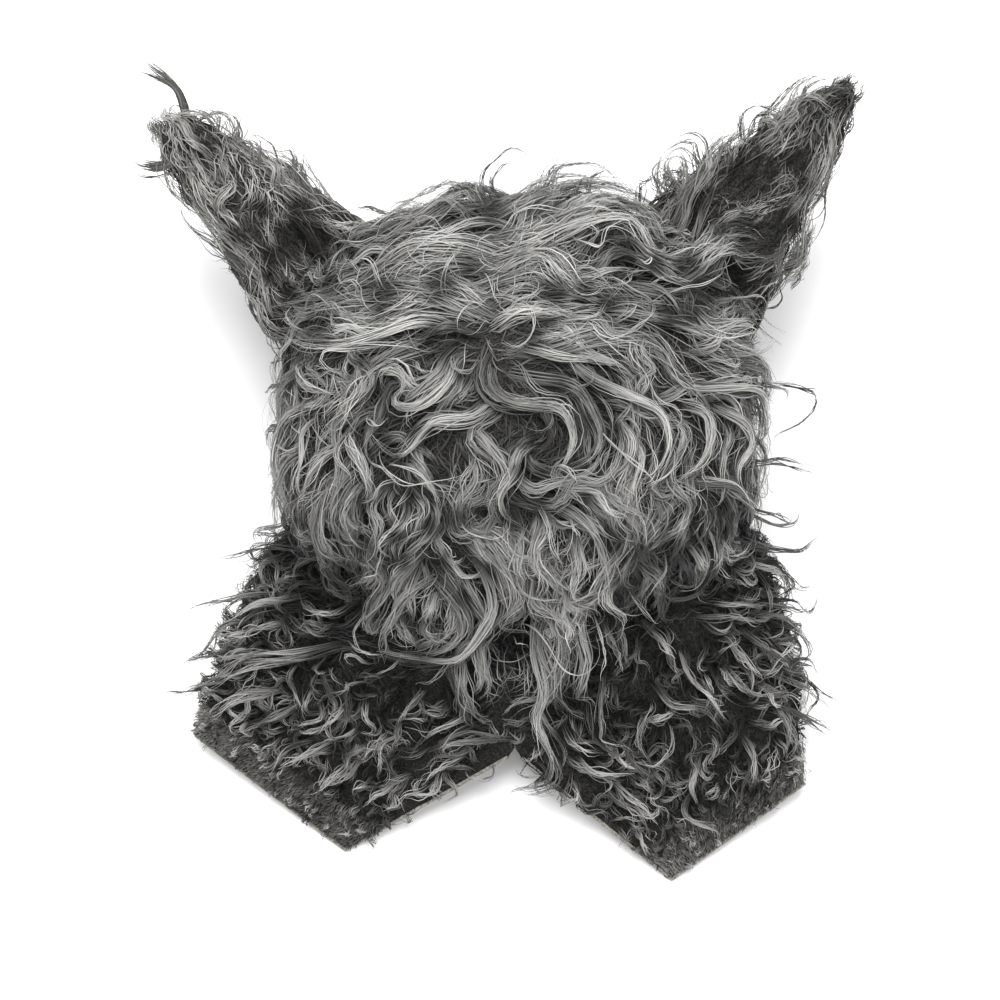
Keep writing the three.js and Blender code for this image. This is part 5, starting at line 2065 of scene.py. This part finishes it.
@dataclass
class Face:
    """The plain moulded face, built in rings round its muzzle."""

    finishes: Finishes
    middle_x: float = 9.0
    wall: float = 3.6
    brow: float = 13.0
    spokes: int = 100
    rows: int = 60

    # How far the eyes are apart, their y, half-width and half-length, and their slant in degrees.
    eye: tuple[float, float, float, float, float] = (68.0, 27.0, 13.0, 7.5, 17.0)

    # Each ring's y, half-width, half-length and height, from the muzzle's front to the rim.
    RINGS = np.array([
        (-15, 1, 1, 7), (-15, 18, 14, 7), (-14, 25, 22, 10), (-11, 29, 28, 24), (-7, 36, 36, 36),
        (1, 52, 53, 41), (6, 70, 69, 37), (8, 79, 77, 22), (8, 81, 79, 3),
    ], float)

    def surface(self) -> Array:
        """Return the outer side by rings and spokes, with brow, wrinkles and mouth as relief."""
        t = np.linspace(0.0, 1.0, self.rows)
        y, half_width, half_length, height = curve_through(self.RINGS, t).T[:, :, None]
        angle = np.linspace(0.0, TAU, self.spokes, endpoint=False)[None, :]
        on_brow = smooth(1.6 * np.sin(angle) - 0.5) * smooth(1 - np.abs(height - 39) / 12)
        wrinkles = 0.7 * np.sin(0.9 * height) * smooth(1 - np.abs(height - 26) / 14)
        wrinkles = wrinkles * smooth(np.sin(angle) + 0.4)
        x = self.middle_x + half_width * np.cos(angle)
        z = height - self.brow * on_brow
        points = triple(x, y + half_length * np.sin(angle), z)
        points[..., 2] = np.maximum(points[..., 2] + wrinkles, 1.2)
        mouth = np.exp(-((np.hypot(points[..., 0] - 9, points[..., 1] + 13) - 15) / 1.6) ** 2)
        points[..., 2] += 2.2 * mouth * (points[..., 1] < -18) * (points[..., 2] < 14)
        return points

    def build(self) -> None:
        """Build the shell with its slanted eye holes, and the nose pad."""
        points = self.surface().reshape(-1, 3)
        quads = grid_quads(self.rows, self.spokes, closed=True)
        apart, eye_y, half_width, half_length, slant = self.eye
        inside = np.zeros(len(points), dtype=bool)
        for sign in (-1.0, 1.0):
            angle = sign * math.radians(slant)
            dx = points[:, 0] - (self.middle_x + sign * apart / 2)
            dy = points[:, 1] - eye_y
            a = (dx * math.cos(angle) + dy * math.sin(angle)) / half_width
            b = (-dx * math.sin(angle) + dy * math.cos(angle)) / half_length
            reach = np.hypot(a, b)
            near = reach < 1
            inside |= near
            out = np.where(near, 1 / np.maximum(reach, 1e-3), 1.0)
            out = np.where(near & (reach > 0.55), out, 1.0)
            points[:, 0] += dx * (out - 1)
            points[:, 1] += dy * (out - 1)
        quads = quads[~inside[quads].all(axis=1)]
        shell = add_mesh("face_shell", *drop_loose(points, quads))
        thicken(shell, self.wall)
        finish_piece(shell, Slot.FACE_LATEX, self.finishes.latex, "face")
        turn = np.linspace(0.0, TAU, 28, endpoint=False)[None, :]
        rise = np.linspace(-math.pi / 2 + 0.02, math.pi / 2 - 0.02, 18)[:, None]
        nose = triple(
            self.middle_x + 12 * signed_power(np.cos(rise), 2.4) * np.cos(turn),
            -4 + 8 * signed_power(np.cos(rise), 2.4) * np.sin(turn) - 1.2 * np.cos(2 * turn),
            7 + 5.4 * np.sin(rise),
        )
        pad = add_mesh("nose_pad", nose.reshape(-1, 3), grid_quads(18, 28, closed=True)[:, ::-1])
        finish_piece(pad, Slot.FACE_LATEX, self.finishes.latex)


@dataclass(frozen=True)
class Studio:
    """The pale floor, the soft lights and the camera."""

    picture: Picture

    def build_floor(self) -> None:
        """Lay a pale floor."""
        size = 3.0
        mesh = bpy.data.meshes.new("floor")
        corners = [(-size, -size, 0), (size, -size, 0), (size, size, 0), (-size, size, 0)]
        mesh.from_pydata(corners, [], [(0, 1, 2, 3)])
        floor = bpy.data.objects.new("floor", mesh)
        bpy.context.scene.collection.objects.link(floor)
        sheet = NodeSheet("pale_floor")
        sheet.shader.inputs["Base Color"].default_value = (0.95, 0.95, 0.955, 1.0)
        sheet.shader.inputs["Roughness"].default_value = 0.9
        mesh.materials.append(sheet.material)

    def build_light(self, name: str, place: tuple, size: float, power: float) -> None:
        """Hang a square soft light at a place in metres, turned towards the mask."""
        data = bpy.data.lights.new(name, "AREA")
        data.size = size
        data.energy = power
        light = bpy.data.objects.new(name, data)
        light.location = place
        way = np.array([0.0, 0.0, 0.08]) - np.array(place)
        tilt = math.atan2(math.hypot(way[0], way[1]), -way[2])
        light.rotation_euler = (tilt, 0.0, math.atan2(way[1], way[0]) - math.pi / 2)
        bpy.context.scene.collection.objects.link(light)

    def build_camera(self) -> None:
        """Place the camera behind the neck, looking down on the back of the head."""
        data = bpy.data.cameras.new("camera")
        data.lens = self.picture.lens
        data.sensor_width = self.picture.sensor
        camera = bpy.data.objects.new("camera", data)
        camera.location = (self.picture.place() + SHIFT) * MM
        camera.rotation_euler = (math.radians(90.0 - self.picture.elevation), 0.0, 0.0)
        bpy.context.scene.collection.objects.link(camera)
        bpy.context.scene.camera = camera

    def build(self) -> None:
        """Build the whole studio."""
        scene = bpy.context.scene
        scene.view_settings.view_transform = "Standard"
        world = scene.world or bpy.data.worlds.new("studio")
        scene.world = world
        world.use_nodes = True
        background = world.node_tree.nodes["Background"]
        background.inputs["Color"].default_value = (1.0, 1.0, 1.0, 1.0)
        background.inputs["Strength"].default_value = 0.62
        self.build_floor()
        self.build_light("key", (-0.12, 0.42, 2.35), 1.4, 70.0)
        self.build_light("fill", (0.6, -1.4, 1.9), 1.6, 14.0)
        self.build_camera()


def main() -> None:
    """Build the mask piece by piece, and its studio."""
    logging.basicConfig(level=logging.INFO, format="%(name)s: %(message)s")
    finishes = Finishes.built()
    picture = Picture()
    comb = Comb(picture, COMBED, HOLLOWS, MATTED_SPOTS)
    head = HeadForm()
    sheets = [NeckForm(side=side, lift=7.0) for side in Side] + [EarForm(side=side) for side in Side]
    top = TopForm.over(head, sheets)
    coat = Coat()
    shared = (top, comb, finishes, coat)
    Hood(*shared, head).build()
    for side, tone_shift in ((Side.LEFT, 0.2), (Side.RIGHT, -0.14)):
        Ear(*shared, side, tone_shift).build()
        NeckPanel(*shared, side).build()
    coat.build()
    Face(finishes).build()
    Studio(picture).build()


if __name__ == "__main__":
    main()
